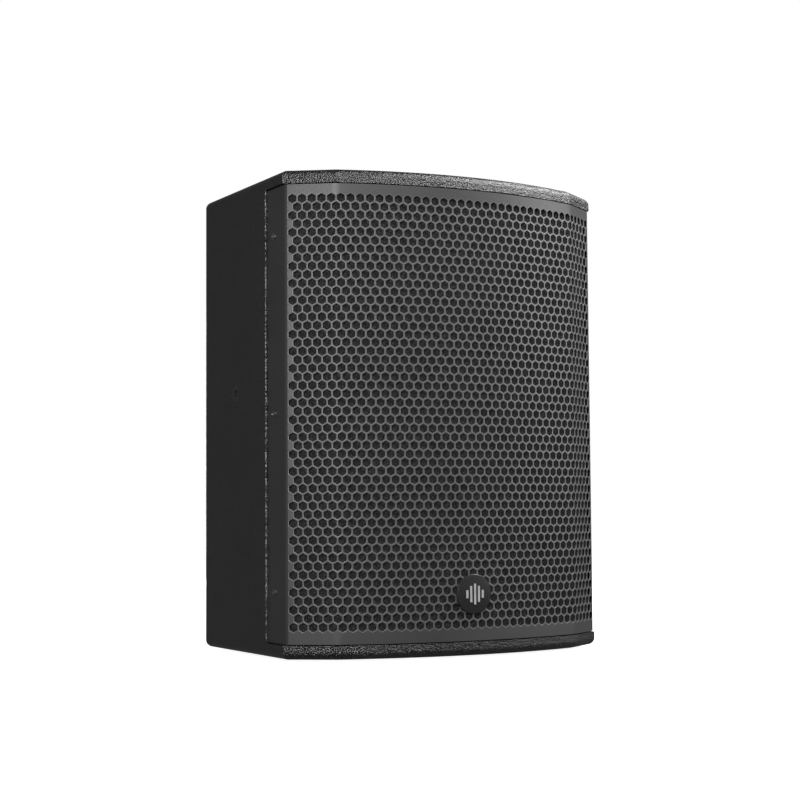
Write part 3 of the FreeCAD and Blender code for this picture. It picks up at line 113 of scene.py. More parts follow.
class Nodes:
    """A material's node tree, with short calls for the nodes that the materials share."""

    def __init__(self, name):
        self.material = bpy.data.materials.new(name)
        self.material.use_nodes = True
        self.tree = self.material.node_tree
        self.shader = self.tree.nodes["Principled BSDF"]
        self.place = self.add("ShaderNodeTexCoord").outputs["Object"]

    def add(self, kind, **settings):
        """A new node. A setting that starts with _ is the node's own, the others are inputs."""
        node = self.tree.nodes.new(kind)
        for key, setting in settings.items():
            if key.startswith("_"):
                setattr(node, key[1:], setting)
            else:
                node.inputs[key].default_value = setting
        return node

    def link(self, output, socket):
        self.tree.links.new(output, socket)

    def noise(self, scale, detail=3.0, roughness=0.5, stretch=None):
        node = self.add("ShaderNodeTexNoise", Scale=scale, Detail=detail, Roughness=roughness)
        place = self.place
        if stretch is not None:
            mapping = self.add("ShaderNodeMapping", Scale=stretch)
            self.link(place, mapping.inputs["Vector"])
            place = mapping.outputs["Vector"]
        self.link(place, node.inputs["Vector"])
        return node.outputs["Fac"]

    def cells(self, scale, feature="F1", smooth=None):
        node = self.add("ShaderNodeTexVoronoi", Scale=scale, _feature=feature)
        if smooth is not None:
            node.inputs["Smoothness"].default_value = smooth
        self.link(self.place, node.inputs["Vector"])
        return node.outputs["Distance"]

    def waves(self, scale, distortion, direction):
        node = self.add("ShaderNodeTexWave", Scale=scale, Distortion=distortion, _bands_direction=direction)
        self.link(self.place, node.inputs["Vector"])
        return node.outputs["Fac"]

    def coat(self):
        """The painted light a mesh carries: painted shade and highlights on the grille sheet, painted glints
        on the paint beads, and nothing on every other mesh.
        """
        return self.add("ShaderNodeAttribute", _attribute_name="coat").outputs["Fac"]

    def remap(self, value, low, high, to_low, to_high):
        node = self.add("ShaderNodeMapRange")
        for index, number in enumerate((low, high, to_low, to_high), 1):
            node.inputs[index].default_value = number
        self.link(value, node.inputs["Value"])
        return node.outputs["Result"]

    def spread(self, value, to_low, to_high):
        """A noise's usual range, spread from one value to another."""
        return self.remap(value, *NOISE_RANGE, to_low, to_high)

    def math(self, operation, first, second):
        node = self.add("ShaderNodeMath", _operation=operation)
        for socket, value in zip(node.inputs, (first, second)):
            if isinstance(value, (int, float)):
                socket.default_value = value
            else:
                self.link(value, socket)
        return node.outputs["Value"]

    def sum(self, first, second, share=1.0):
        """The first value plus a share of the second."""
        return self.math("ADD", first, self.math("MULTIPLY", second, share))

    def blend_colours(self, factor, first, second):
        node = self.add("ShaderNodeMix", _data_type="RGBA")
        self.link(factor, node.inputs["Factor"])
        for socket, colour in ((node.inputs[6], first), (node.inputs[7], second)):
            if isinstance(colour, tuple):
                socket.default_value = (*colour, 1)
            else:
                self.link(colour, socket)
        return node.outputs[2]

    def bump(self, height, strength, distance):
        node = self.add("ShaderNodeBump", Strength=strength, Distance=distance)
        self.link(height, node.inputs["Height"])
        return node.outputs["Normal"]

    def finish(self, colour, roughness, normal, **sockets):
        """Colour and normal are outputs, roughness an output or a number."""
        self.link(colour, self.shader.inputs["Base Color"])
        self.link(normal, self.shader.inputs["Normal"])
        if isinstance(roughness, float):
            self.shader.inputs["Roughness"].default_value = roughness
        else:
            self.link(roughness, self.shader.inputs["Roughness"])
        for name, value in sockets.items():
            self.shader.inputs[name.replace("_", " ")].default_value = value
        return self.material


# ---- Materials ---------------------------------------------------------------------

# Colour of the glints painted on the paint beads.
PAINTED_GLINT_COLOUR = (0.3, 0.3, 0.3)


def grey(level):
    return level, level, level * 1.02


def pebbled_paint(name, dark, light, grain, strength):
    """Thick textured cabinet paint: rounded pebbles, with pale specks painted on as glints wherever a mesh
    carries painted light.
    """
    nodes = Nodes(name)
    pebbles = nodes.cells(grain, "SMOOTH_F1", smooth=0.35)
    fine = nodes.noise(grain * 2.3)
    broad = nodes.noise(9)
    height = nodes.sum(nodes.math("MULTIPLY", pebbles, -1.0), fine, 0.45)
    # The pebbles' tops are painted lighter than the hollows between them: painted shade in the hollows.
    colour = nodes.blend_colours(nodes.remap(pebbles, 0.15, 0.6, 1, 0), dark, light)
    colour = nodes.blend_colours(nodes.remap(broad, 0.4, 0.7, 0, 0.2), colour, light)
    # Pale specks painted as glints, only where the mesh carries painted light: on the paint beads.
    painted_glints = nodes.remap(nodes.noise(480, detail=1), 0.48, 0.6, 0, 1)
    painted_glints = nodes.math("MULTIPLY", nodes.coat(), painted_glints)
    colour = nodes.blend_colours(painted_glints, colour, PAINTED_GLINT_COLOUR)
    rough = nodes.spread(fine, 0.12, 0.26)
    normal = nodes.bump(height, strength, distance=0.7 * MM)
    return nodes.finish(colour, rough, normal, Specular_IOR_Level=0.7)


def coat_surface(nodes, colour, roughness, strength):
    """The fine orange peel of a powder coat, under a colour."""
    fine = nodes.noise(1500, detail=2)
    peel = nodes.cells(900, "SMOOTH_F1", smooth=0.8)
    rough = nodes.spread(fine, roughness - 0.06, roughness + 0.08)
    normal = nodes.bump(nodes.sum(fine, peel, 0.6), strength, distance=0.06 * MM)
    return nodes.finish(colour, rough, normal)


def powder_coat(name, dark, light, roughness, strength=0.25):
    nodes = Nodes(name)
    broad = nodes.noise(14)
    colour = nodes.blend_colours(nodes.spread(broad, 0, 1), dark, light)
    return coat_surface(nodes, colour, roughness, strength)


def sheet_coat_painted_light(name, hole_painted_shade, bar_painted_highlight, roughness, strength=0.25):
    """Powder coat on punched sheet, with painted shade inside the holes and a painted highlight on the bars
    between.
    """
    nodes = Nodes(name)
    broad = nodes.noise(14)
    place = nodes.remap(nodes.coat(), HOLE_PAINTED_SHADE, BAR_PAINTED_HIGHLIGHT, 0, 1)
    shade = nodes.math("MULTIPLY", place, nodes.spread(broad, 0.9, 1.1))
    colour = nodes.blend_colours(shade, hole_painted_shade, bar_painted_highlight)
    return coat_surface(nodes, colour, roughness, strength)


def open_foam(name, dark, light, grain):
    """Open-cell foam: pale strands round dark pores."""
    nodes = Nodes(name)
    pores = nodes.cells(grain, "DISTANCE_TO_EDGE")
    small = nodes.cells(grain * 2.1)
    broad = nodes.noise(60)
    strands = nodes.remap(pores, 0.02, 0.25, 1, 0)
    colour = nodes.blend_colours(strands, dark, light)
    colour = nodes.blend_colours(nodes.remap(broad, 0.35, 0.7, 0, 0.3), colour, light)
    normal = nodes.bump(nodes.sum(strands, small, 0.4), strength=0.9, distance=0.6 * MM)
    return nodes.finish(colour, 0.95, normal, Specular_IOR_Level=0.15)


def metal(name, colour, shade, roughness, metallic=1.0):
    """Bare or blackened metal, with fine turning or brushing marks."""
    nodes = Nodes(name)
    marks = nodes.noise(700, roughness=0.6, stretch=(1, 1, 12))
    stains = nodes.noise(90, detail=4)
    tint = nodes.blend_colours(nodes.remap(stains, 0.35, 0.7, 0, 1), colour, shade)
    rough = nodes.spread(marks, roughness - 0.08, roughness + 0.1)
    normal = nodes.bump(marks, strength=0.15, distance=0.05 * MM)
    return nodes.finish(tint, rough, normal, Metallic=metallic)


def moulded(name, dark, light, roughness, grain=900):
    """Moulded plastic or rubber with a fine spark-eroded grain."""
    nodes = Nodes(name)
    eroded = nodes.cells(grain, "SMOOTH_F1", smooth=0.6)
    broad = nodes.noise(35)
    colour = nodes.blend_colours(nodes.remap(broad, 0.35, 0.65, 0, 1), dark, light)
    rough = nodes.remap(eroded, 0.1, 0.7, roughness - 0.06, roughness + 0.08)
    normal = nodes.bump(eroded, strength=0.25, distance=0.08 * MM)
    return nodes.finish(colour, rough, normal)


def plywood(name):
    """Birch plywood: long grain with short dark pores."""
    nodes = Nodes(name)
    grain = nodes.noise(26, detail=6, roughness=0.65, stretch=(1.5, 12, 12))
    pores = nodes.noise(900, detail=2, stretch=(0.1, 1, 1))
    colour = nodes.blend_colours(nodes.spread(grain, 0, 1), (0.52, 0.37, 0.22), (0.66, 0.51, 0.33))
    colour = nodes.blend_colours(nodes.remap(pores, 0.55, 0.75, 0, 0.5), colour, (0.3, 0.2, 0.11))
    normal = nodes.bump(pores, strength=0.3, distance=0.1 * MM)
    return nodes.finish(colour, 0.62, normal)


def cloth(name, dark, light, thread, roughness=0.85):
    """Woven or felted cloth."""
    nodes = Nodes(name)
    across = nodes.waves(thread, 1.5, "X")
    along = nodes.waves(thread, 1.5, "Z")
    weave = nodes.math("MULTIPLY", across, along)
    fuzz = nodes.noise(400, detail=4)
    colour = nodes.blend_colours(nodes.math("MULTIPLY", weave, fuzz), dark, light)
    normal = nodes.bump(nodes.math("ADD", weave, fuzz), strength=0.5, distance=0.2 * MM)
    return nodes.finish(colour, roughness, normal)


def paper_cone(name, dark, light):
    """Pressed paper pulp with its fibres and flecks."""
    nodes = Nodes(name)
    fibres = nodes.noise(320, detail=6, roughness=0.75)
    flecks = nodes.noise(1100, detail=2)
    colour = nodes.blend_colours(nodes.remap(fibres, 0.35, 0.65, 0, 1), dark, light)
    normal = nodes.bump(fibres, strength=0.5, distance=0.15 * MM)
    return nodes.finish(colour, nodes.spread(flecks, 0.7, 0.95), normal)


def wound_copper(name, dark, light):
    """Enamelled copper wire, wound round a fore-and-aft axis."""
    nodes = Nodes(name)
    turns = nodes.waves(260, 0.2, "Y")
    stain = nodes.noise(120)
    colour = nodes.blend_colours(nodes.spread(stain, 0, 1), dark, light)
    normal = nodes.bump(turns, strength=0.6, distance=0.25 * MM)
    return nodes.finish(colour, 0.28, normal, Metallic=1.0)


def make_materials():
    """Each slot's material: its recipe, then that recipe's colours, roughness and grain."""
    recipes = {
        "cabinet_paint": (pebbled_paint, grey(0.004), grey(0.035), 620, 1.0),
        "baffle_paint": (pebbled_paint, grey(0.008), grey(0.016), 500, 0.25),
        "bare_plywood": (plywood,),
        "wadding": (cloth, (0.4, 0.4, 0.38), (0.75, 0.75, 0.72), 150, 0.95),
        "rubber": (moulded, grey(0.01), grey(0.022), 0.75, 500),
        # The grille's two colours are its holes' painted shade and its bars' painted highlight.
        "grille_powder_coat": (sheet_coat_painted_light, grey(0.004), grey(0.078), 0.4),
        "foam": (open_foam, grey(0.004), grey(0.05), 620),
        "black_screws": (metal, grey(0.28), grey(0.4), 0.3),
        "badge_black": (powder_coat, grey(0.012), grey(0.02), 0.3, 0.12),
        "badge_silver": (metal, grey(0.4), grey(0.5), 0.34, 0.3),
        "spring_steel": (metal, grey(0.32), grey(0.42), 0.35),
        "basket_paint": (powder_coat, grey(0.015), grey(0.025), 0.45),
        "gasket_foam": (open_foam, grey(0.008), grey(0.03), 1600),
        "doped_cloth": (cloth, grey(0.01), grey(0.035), 500, 0.6),
        "cone_paper": (paper_cone, (0.014, 0.014, 0.015), (0.05, 0.05, 0.052)),
        "spider_cloth": (cloth, (0.4, 0.26, 0.1), (0.62, 0.45, 0.22), 500),
        "former_film": (moulded, (0.34, 0.17, 0.05), (0.5, 0.28, 0.1), 0.3, 400),
        "copper": (wound_copper, (0.6, 0.24, 0.1), (0.78, 0.36, 0.18)),
        "plated_steel": (metal, (0.5, 0.5, 0.52), (0.62, 0.6, 0.55), 0.36),
        "ferrite": (moulded, grey(0.04), grey(0.075), 0.55, 260),
        "horn_plastic": (moulded, grey(0.012), grey(0.02), 0.5),
        "dome_metal": (metal, (0.5, 0.49, 0.47), (0.62, 0.6, 0.58), 0.3),
        "board_green": (moulded, (0.02, 0.13, 0.05), (0.04, 0.18, 0.07), 0.35, 300),
        "capacitor_film": (moulded, (0.5, 0.36, 0.06), (0.66, 0.5, 0.12), 0.3, 200),
        "resistor_ceramic": (moulded, (0.66, 0.64, 0.58), (0.8, 0.78, 0.72), 0.85, 500),
        "terminal_paint": (powder_coat, grey(0.014), grey(0.022), 0.4),
        "socket_plastic": (moulded, grey(0.01), grey(0.018), 0.4),
        "insert_steel": (metal, grey(0.03), grey(0.055), 0.3, 0.3),
        "pole_steel": (powder_coat, grey(0.018), grey(0.028), 0.42),
        "cable_jacket": (moulded, (0.07, 0.006, 0.006), (0.11, 0.012, 0.012), 0.4, 400),
    }
    return {slot: recipe(slot, *settings) for slot, (recipe, *settings) in recipes.items()}


MATERIALS = make_materials()


def paint_nodes():
    """Every CAD node takes the material of its slot."""
    for name, node in NODES.items():
        node.data.materials.clear()
        node.data.materials.append(MATERIALS[SLOTS[name]])


# ---- Mesh helpers ------------------------------------------------------------------

def make_piece(name, vertices, faces, node, smooth_angle=35, body="cabinet", painted_light_values=None):
    """A mesh piece that stands for a CAD node, in that node's material slot.

    With no node it is an extra piece of cabinet paint. With no body, the piece is left unattached.
    """
    mesh = bpy.data.meshes.new(name)
    mesh.from_pydata(vertices, [], faces)
    # Each face's painted light: painted shade and highlights on the grille, painted glints on the paint
    # beads.
    if painted_light_values:
        mesh.attributes.new("coat", "FLOAT", "FACE").data.foreach_set("value", painted_light_values)
    mesh.validate()
    mesh.update()
    mesh.shade_smooth()
    mesh.set_sharp_from_angle(angle=math.radians(smooth_angle))
    piece = bpy.data.objects.new(name, mesh)
    bpy.context.scene.collection.objects.link(piece)
    slot = SLOTS[node] if node else "cabinet_paint"
    mesh.materials.append(MATERIALS[slot])
    if body:
        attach(piece, body)
    if node:
        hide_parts(node)
    return piece


# ---- Paint beads -------------------------------------------------------------------

BEAD_RADIUS = 0.9 * MM
BEAD_SIDES = 10
BEAD_STEP = 1.6 * MM
BEAD_LUMP = 0.6
BEAD_LUMP_RATE = 0.8
# The paint beads carry the full painted glints.
BEAD_PAINTED_GLINTS = 1
REBATE_REAR = GRILLE_HIGH.y + 1 * MM
REBATE_ROUND_LOW = 5 * MM
REBATE_ROUND_TOP = 2 * MM
CORNER_STEPS = 8
CORNER_END_STEPS = 2


def bead_path():
    """The outline of the side's rebate, as (y, z) points with the way it heads at each.

    It starts and ends part of the way round its two corners, where the bead thins out.
    """
    low, high = WALL_LOW_Z + BEAD_RADIUS, WALL_HIGH_Z - BEAD_RADIUS
    straight_low, straight_high = low + REBATE_ROUND_LOW, high - REBATE_ROUND_TOP
    steps = round((straight_high - straight_low) / BEAD_STEP)
    quarter = math.pi / 2
    path = []
    for k in range(CORNER_END_STEPS, CORNER_STEPS + 1):
        turn = quarter * k / CORNER_STEPS
        path.append((REBATE_REAR - REBATE_ROUND_LOW * (1 - math.sin(turn)),
                     low + REBATE_ROUND_LOW * (1 - math.cos(turn)), turn))
    for k in range(1, steps):
        level = straight_low + (straight_high - straight_low) * k / steps
        path.append((REBATE_REAR, level, quarter))
    for k in range(CORNER_STEPS + 1 - CORNER_END_STEPS):
        turn = quarter * k / CORNER_STEPS
        path.append((REBATE_REAR - REBATE_ROUND_TOP * (1 - math.cos(turn)),
                     high - REBATE_ROUND_TOP * (1 - math.sin(turn)), quarter + turn))
    return path


def bead_section(side, y, z, heading):
    """One lumpy ring of points round the bead's path."""
    out_y, out_z = math.sin(heading), -math.cos(heading)
    ring = []
    for k in range(BEAD_SIDES):
        turn = side * 2 * math.pi * k / BEAD_SIDES
        spot = Vector((side + math.cos(turn), math.sin(turn), BEAD_LUMP_RATE * z / BEAD_STEP))
        reach = BEAD_RADIUS * (1 - BEAD_LUMP * abs(noise.noise(spot)))
        x = side * (SIDE_X - BEAD_RADIUS + reach * math.cos(turn))
        shift = reach * math.sin(turn)
        ring.append((x, y + out_y * shift, z + out_z * shift))
    return ring


def make_paint_beads():
    """The coat builds up in a rounded bead along the outer edge of each rebate's step."""
    for side, name in ((-1, "left"), (1, "right")):
        vertices, faces = [], []
        path = bead_path()
        for y, z, heading in path:
            vertices += bead_section(side, y, z, heading)
        for i in range(len(path) - 1):
            here, after = i * BEAD_SIDES, (i + 1) * BEAD_SIDES
            for k in range(BEAD_SIDES):
                j = (k + 1) % BEAD_SIDES
                faces.append((here + k, after + k, after + j, here + j))
        faces.append(tuple(range(BEAD_SIDES)))
        last = (len(path) - 1) * BEAD_SIDES
        faces.append(tuple(last + k for k in reversed(range(BEAD_SIDES))))
        # Each bead is painted with glints in pale specks.
        make_piece(name + "_rebate_paint_bead", vertices, faces, None, 60,
                   painted_light_values=[BEAD_PAINTED_GLINTS] * len(faces))


# ---- Grille ------------------------------------------------------------------------

def plan_point(s, depth=0.0):
    """X and Y at a distance s along the bowed front from its middle, and depth behind it."""
    side, s = math.copysign(1, s), abs(s)
    if s <= ARC_HALF_LENGTH:
        angle = s / ARC_RADIUS
        x = ARC_RADIUS * math.sin(angle)
        y = FRONT_Y + ARC_RADIUS * (1 - math.cos(angle))
    elif s <= BEND_START:
        angle = FACET_ANGLE
        along = s - ARC_HALF_LENGTH
        x = CREASE_X + along * math.cos(angle)
        y = CREASE_Y + along * math.sin(angle)
    elif s < BEND_END:
        angle = FACET_ANGLE + (s - BEND_START) / BEND_RADIUS
        centre = bend_centre()
        x = centre.x + BEND_RADIUS * math.sin(angle)
        y = centre.y - BEND_RADIUS * math.cos(angle)
    else:
        angle = math.pi / 2
        x, y = FLANGE_X, BEND_END_Y + s - BEND_END
    return side * (x - depth * math.sin(angle)), y + depth * math.cos(angle)


def bend_centre():
    """The centre of the bend round to the right-hand flange."""
    along = Vector((math.cos(FACET_ANGLE), math.sin(FACET_ANGLE)))
    inward = Vector((-math.sin(FACET_ANGLE), math.cos(FACET_ANGLE)))
    return Vector((CREASE_X, CREASE_Y)) + FACET_LENGTH * along + BEND_RADIUS * inward


class Sheet:
    """A punched sheet laid out flat as (s, z) points at a depth, then wrapped on the plan."""

    def __init__(self):
        self.points = []
        self.index = {}
        self.faces = []
        self.painted_light_values = []

    def point(self, s, z, depth=0.0):
        key = (round(s * 1e6), round(z * 1e6), round(depth * 1e6))
        if key not in self.index:
            self.index[key] = len(self.points)
            self.points.append((s, z, depth))
        return self.index[key]

    def face(self, *corners, coat=NO_PAINTED_LIGHT):
        corners = [corner for i, corner in enumerate(corners) if corner != corners[i - 1]]
        if len(corners) > 2:
            self.faces.append(corners)
            self.painted_light_values.append(coat)

    def both_faces(self, ring):
        """A ring of (s, z) corners as a face on the sheet's front, and one on its back."""
        self.face(*[self.point(*corner) for corner in ring])
        self.face(*[self.point(*corner, GAUGE) for corner in reversed(ring)])

    def close_rim(self):
        """Walls along the sheet's outer edges, where only one face meets an edge."""
        used = {(here, after) for face in self.faces for here, after in zip(face, face[1:] + face[:1])}
        for here, after in sorted(edge for edge in used if edge[::-1] not in used):
            s, z, depth = self.points[here]
            t, w, _ = self.points[after]
            if depth == 0.0:
                self.face(after, here, self.point(s, z, GAUGE), self.point(t, w, GAUGE))

    def wrapped(self):
        return [(*plan_point(s, depth), z) for s, z, depth in self.points]


def hexagon(s, z, reach):
    """Corners of a pointed-top hexagon, from the right-hand upper one round."""
    turns = [math.radians(30 + 60 * k) for k in range(6)]
    return [(s + reach * math.cos(turn), z + reach * math.sin(turn)) for turn in turns]


def rounded_hexagon(s, z, flats):
    """A hexagonal hole whose corners are cut, as a punch leaves them: two points a corner."""
    corners = hexagon(s, z, flats / math.sqrt(3))
    ring = []
    for k, corner in enumerate(corners):
        for other in (corners[k - 1], corners[(k + 1) % 6]):
            ring.append(tuple(a + (b - a) * HOLE_CORNER for a, b in zip(corner, other)))
    return ring


def punch(sheet, s, z):
    """One hexagonal cell of the sheet with its hole: flat bars, rolled edge, walls and back."""
    cell = [sheet.point(*corner) for corner in hexagon(s, z, CELL_REACH)]
    cell_back = [sheet.point(*corner, GAUGE) for corner in hexagon(s, z, CELL_REACH)]
    levels = ((HOLE_FLATS + 2 * HOLE_ROLL, 0.0), (HOLE_FLATS, HOLE_ROLL),
              (HOLE_FLATS, GAUGE - HOLE_ROLL), (HOLE_FLATS + HOLE_ROLL, GAUGE))
    rings = [[sheet.point(*point, depth) for point in rounded_hexagon(s, z, flats)]
             for flats, depth in levels]
    front, back = rings[0], rings[-1]
    # The bars' faces carry a painted highlight.
    for k in range(6):
        after = (k + 1) % 6
        sheet.face(cell[k], cell[after], front[2 * after], front[2 * k + 1], coat=BAR_PAINTED_HIGHLIGHT)
        sheet.face(cell[k], front[2 * k + 1], front[2 * k], coat=BAR_PAINTED_HIGHLIGHT)
        sheet.face(cell_back[after], cell_back[k], back[2 * k + 1], back[2 * after])
        sheet.face(cell_back[k], back[2 * k], back[2 * k + 1])
    # The rolled front edge carries a painted highlight; the walls and the rolled back edge inside the hole
    # carry painted shade.
    for outer, inner in zip(rings, rings[1:]):
        coat = BAR_PAINTED_HIGHLIGHT if outer is front else HOLE_PAINTED_SHADE
        for k in range(12):
            after = (k + 1) % 12
            sheet.face(outer[k], outer[after], inner[after], inner[k], coat=coat)


def row_columns(row):
    """The places along a row of its holes."""
    if row % 2 == 0:
        return [PITCH * k for k in range(-HALF_COLUMNS, HALF_COLUMNS + 1)]
    return [PITCH * (k + 0.5) for k in range(-HALF_COLUMNS, HALF_COLUMNS)]


def row_level(row):
    return MIDDLE_ROW_Z + (ROWS // 2 - row) * ROW_PITCH


def margin(sheet, chain, project):
    """Plain sheet between the zigzag edge of the cells and a straight line."""
    for here, after in zip(chain, chain[1:]):
        sheet.both_faces([here, after, project(after), project(here)])


def end_margin(sheet, row, way, level):
    """Plain sheet above the first row (way 1) or below the last (way -1), out to a level."""
    middle = row_level(row)
    chain = []
    for s in row_columns(row):
        chain += [(s - PITCH / 2, middle + way * CELL_REACH / 2), (s, middle + way * CELL_REACH)]
    chain.append((row_columns(row)[-1] + PITCH / 2, middle + way * CELL_REACH / 2))
    margin(sheet, chain[::-way], lambda point: (point[0], level))


def side_chain(side):
    """The zigzag edge of the cells at one end of every row, from the top down."""
    chain = []
    for row in range(ROWS):
        outer = side * (abs(row_columns(row)[0]) + PITCH / 2)
        chain += [(outer, row_level(row) + CELL_REACH / 2), (outer, row_level(row) - CELL_REACH / 2)]
    return chain


def wrap_columns():
    """Where the plain sheet beside the holes is divided, to follow the bend and the flange."""
    bend = [MARGIN_START + (BEND_END - MARGIN_START) * k / BEND_STEPS for k in range(BEND_STEPS + 1)]
    return bend + [BEND_END + (FLANGE_END - BEND_END) * k / FLANGE_STEPS
                   for k in range(1, FLANGE_STEPS + 1)]


def facing(ring, forward):
    """A ring of corners, turned round unless it already faces forward."""
    return ring if forward else ring[::-1]


def side_margin(sheet, side, low, high):
    """Plain sheet beside the cells, its two corners, and the wrap round to the flange."""
    start = side * MARGIN_START
    chain = side_chain(side)
    margin(sheet, chain[::-side], lambda point: (start, point[1]))
    for (s, z), level in ((chain[0], high), (chain[-1], low)):
        ring = [(s, z), (s, level), (start, level), (start, z)]
        sheet.both_faces(facing(ring, (side > 0) != (level == high)))
    levels = [high] + [z for _, z in chain] + [low]
    columns = wrap_columns()
    for here, after in zip(columns, columns[1:]):
        for upper, lower in zip(levels, levels[1:]):
            ring = [(side * here, lower), (side * after, lower), (side * after, upper), (side * here, upper)]
            sheet.both_faces(facing(ring, side > 0))


def make_grille():
    """The folded steel sheet with every hole cut through it."""
    sheet = Sheet()
    for row in range(ROWS):
        for s in row_columns(row):
            punch(sheet, s, row_level(row))
    low, high = GRILLE_LOW.z + SHEET_GAP, GRILLE_HIGH.z - SHEET_GAP
    end_margin(sheet, 0, 1, high)
    end_margin(sheet, ROWS - 1, -1, low)
    for side in (-1, 1):
        side_margin(sheet, side, low, high)
    sheet.close_rim()
    make_piece("grille_perforated", sheet.wrapped(), sheet.faces, "grille", 60, painted_light_values=sheet.painted_light_values)


FOAM_DEPTH = 4.2 * MM
FOAM_THICKNESS = 3.3 * MM
FOAM_HALF_LENGTH = BEND_START - 0.5 * MM
FOAM_LEVELS = (22 * MM, 504 * MM)
FOAM_COLUMNS = 84
FOAM_ROWS = 60
FOAM_THIN_EDGE = 0.35
FOAM_SIDE_TAPER = 9
FOAM_END_TAPER = 40


def foam_points(back):
    """The foam's front points, or its back ones, which come forward at the thinned edges."""
    low, high = FOAM_LEVELS
    points = []
    for i in range(FOAM_COLUMNS + 1):
        for j in range(FOAM_ROWS + 1):
            across, up = 2 * i / FOAM_COLUMNS - 1, j / FOAM_ROWS
            edge = min(1, FOAM_SIDE_TAPER * (1 - abs(across)) + FOAM_THIN_EDGE,
                       FOAM_END_TAPER * min(up, 1 - up) + FOAM_THIN_EDGE)
            depth = FOAM_DEPTH + (FOAM_THICKNESS * edge if back else 0)
            x, y = plan_point(across * FOAM_HALF_LENGTH, depth)
            points.append((x, y, low + (high - low) * up))
    return points


def make_foam():
    """Open-cell foam bonded behind the perforation, bowed with the sheet, its edges thinned."""
    front, back = foam_points(back=False), foam_points(back=True)
    count = len(front)
    stride = FOAM_ROWS + 1
    faces = []
    for i in range(FOAM_COLUMNS):
        for j in range(FOAM_ROWS):
            a = i * stride + j
            ring = [a, a + stride, a + stride + 1, a + 1]
            faces.append(ring)
            faces.append([corner + count for corner in reversed(ring)])
    rim = [i * stride for i in range(FOAM_COLUMNS + 1)]
    rim += [FOAM_COLUMNS * stride + j for j in range(1, stride)]
    rim += [i * stride + FOAM_ROWS for i in range(FOAM_COLUMNS - 1, -1, -1)]
    rim += [j for j in range(FOAM_ROWS - 1, 0, -1)]
    for here, after in zip(rim, rim[1:] + rim[:1]):
        faces.append([after, here, here + count, after + count])
    foam = make_piece("grille_foam_sheet", front + back, faces, "grille_foam", 50)


# ---- Soft parts --------------------------------------------------------------------

def middle_z(node):
    low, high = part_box(node)
    return (low.z + high.z) / 2


WOOFER_Z = middle_z("woofer_cone")
WOOFER_SEGMENTS = 128
DRIVER_Z = middle_z("driver_diaphragm")
DRIVER_SEGMENTS = 96

# Radii of each ring: its held edge, where it starts and ends to flex, and its carried edge.
SURROUND_RADII = (140.9 * MM, 131 * MM, 119 * MM, 115.1 * MM)
SURROUND_FLAT_Y = -84.45 * MM
SURROUND_THICKNESS = 0.8 * MM
SURROUND_RIDGES = (1.2 * MM, 0.8 * MM)
SURROUND_DIP = 0.1 * MM
ROLL_STEPS = 16
SPIDER_RADII = (91.9 * MM, 80 * MM, 40 * MM, 38.2 * MM)
SPIDER_Y = -18.5 * MM
SPIDER_WAVE = 0.8 * MM
SPIDER_WAVES = 6
SPIDER_THICKNESS = 0.45 * MM
SUSPENSION_RADII = (29.9 * MM, 28.5 * MM, 23.2 * MM, 22.35 * MM)
SUSPENSION_LIFT = 0.15 * MM
SUSPENSION_WAVE = 0.12 * MM
SUSPENSION_WAVES = 3
SUSPENSION_THICKNESS = 0.12 * MM
STEPS_PER_WAVE = 8


def ring_mesh(name, node, profile, centre_z, segments):
    """A closed profile of (radius, y) points turned round a fore-and-aft axis."""
    vertices = []
    for k in range(segments):
        turn = 2 * math.pi * k / segments
        vertices += [(r * math.cos(turn), y, centre_z + r * math.sin(turn)) for r, y in profile]
    count = len(profile)
    faces = []
    for k in range(segments):
        here, after = k * count, (k + 1) % segments * count
        for i in range(count):
            j = (i + 1) % count
            faces.append((here + i, here + j, after + j, after + i))
    return make_piece(name, vertices, faces, node, 50, body=None)


def skin(line, thickness):
    """A closed profile: a line of (radius, y) points, and back along it a thickness behind."""
    return line + [(r, y + thickness) for r, y in reversed(line)]


def flex(ring, centre_z, held_radius, carried_radius):
    """Bakes the ring's place into its mesh and works out each point's share between the held and the carried
    radius; nothing uses that share.
    """
    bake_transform(ring)
    for vertex in ring.data.vertices:
        radius = math.hypot(vertex.co.x, vertex.co.z - centre_z)
        share = (held_radius - radius) / (held_radius - carried_radius)
        share = min(1, max(0, share))


def make_surround():
    """The half-roll edge of the woofer cone, with a fine ridge each side of the roll."""
    outer, roll_outer, roll_inner, inner = SURROUND_RADII
    outer_ridge, inner_ridge = SURROUND_RIDGES
    middle, reach = (roll_outer + roll_inner) / 2, (roll_outer - roll_inner) / 2
    line = [(outer, SURROUND_FLAT_Y), (roll_outer + outer_ridge, SURROUND_FLAT_Y)]
    for k in range(ROLL_STEPS + 1):
        turn = math.pi * k / ROLL_STEPS
        line.append((middle + reach * math.cos(turn),
                     SURROUND_FLAT_Y - (reach - SURROUND_DIP) * math.sin(turn)))
    line += [(roll_inner - inner_ridge, SURROUND_FLAT_Y), (inner, SURROUND_FLAT_Y)]
    profile = skin(line, SURROUND_THICKNESS)
    ring = ring_mesh("woofer_surround_roll", "woofer_surround", profile, WOOFER_Z, WOOFER_SEGMENTS)
    flex(ring, WOOFER_Z, roll_outer, roll_inner)


def corrugated(outer, held, carried, inner, level, wave, waves):
    """A line of (radius, y) points: flat at both edges, with waves between them."""
    line = [(outer, level)]
    steps = STEPS_PER_WAVE * waves
    for k in range(steps + 1):
        turn = 2 * math.pi * waves * k / steps
        line.append((held + (carried - held) * k / steps, level + wave * math.sin(turn)))
    return line + [(inner, level)]


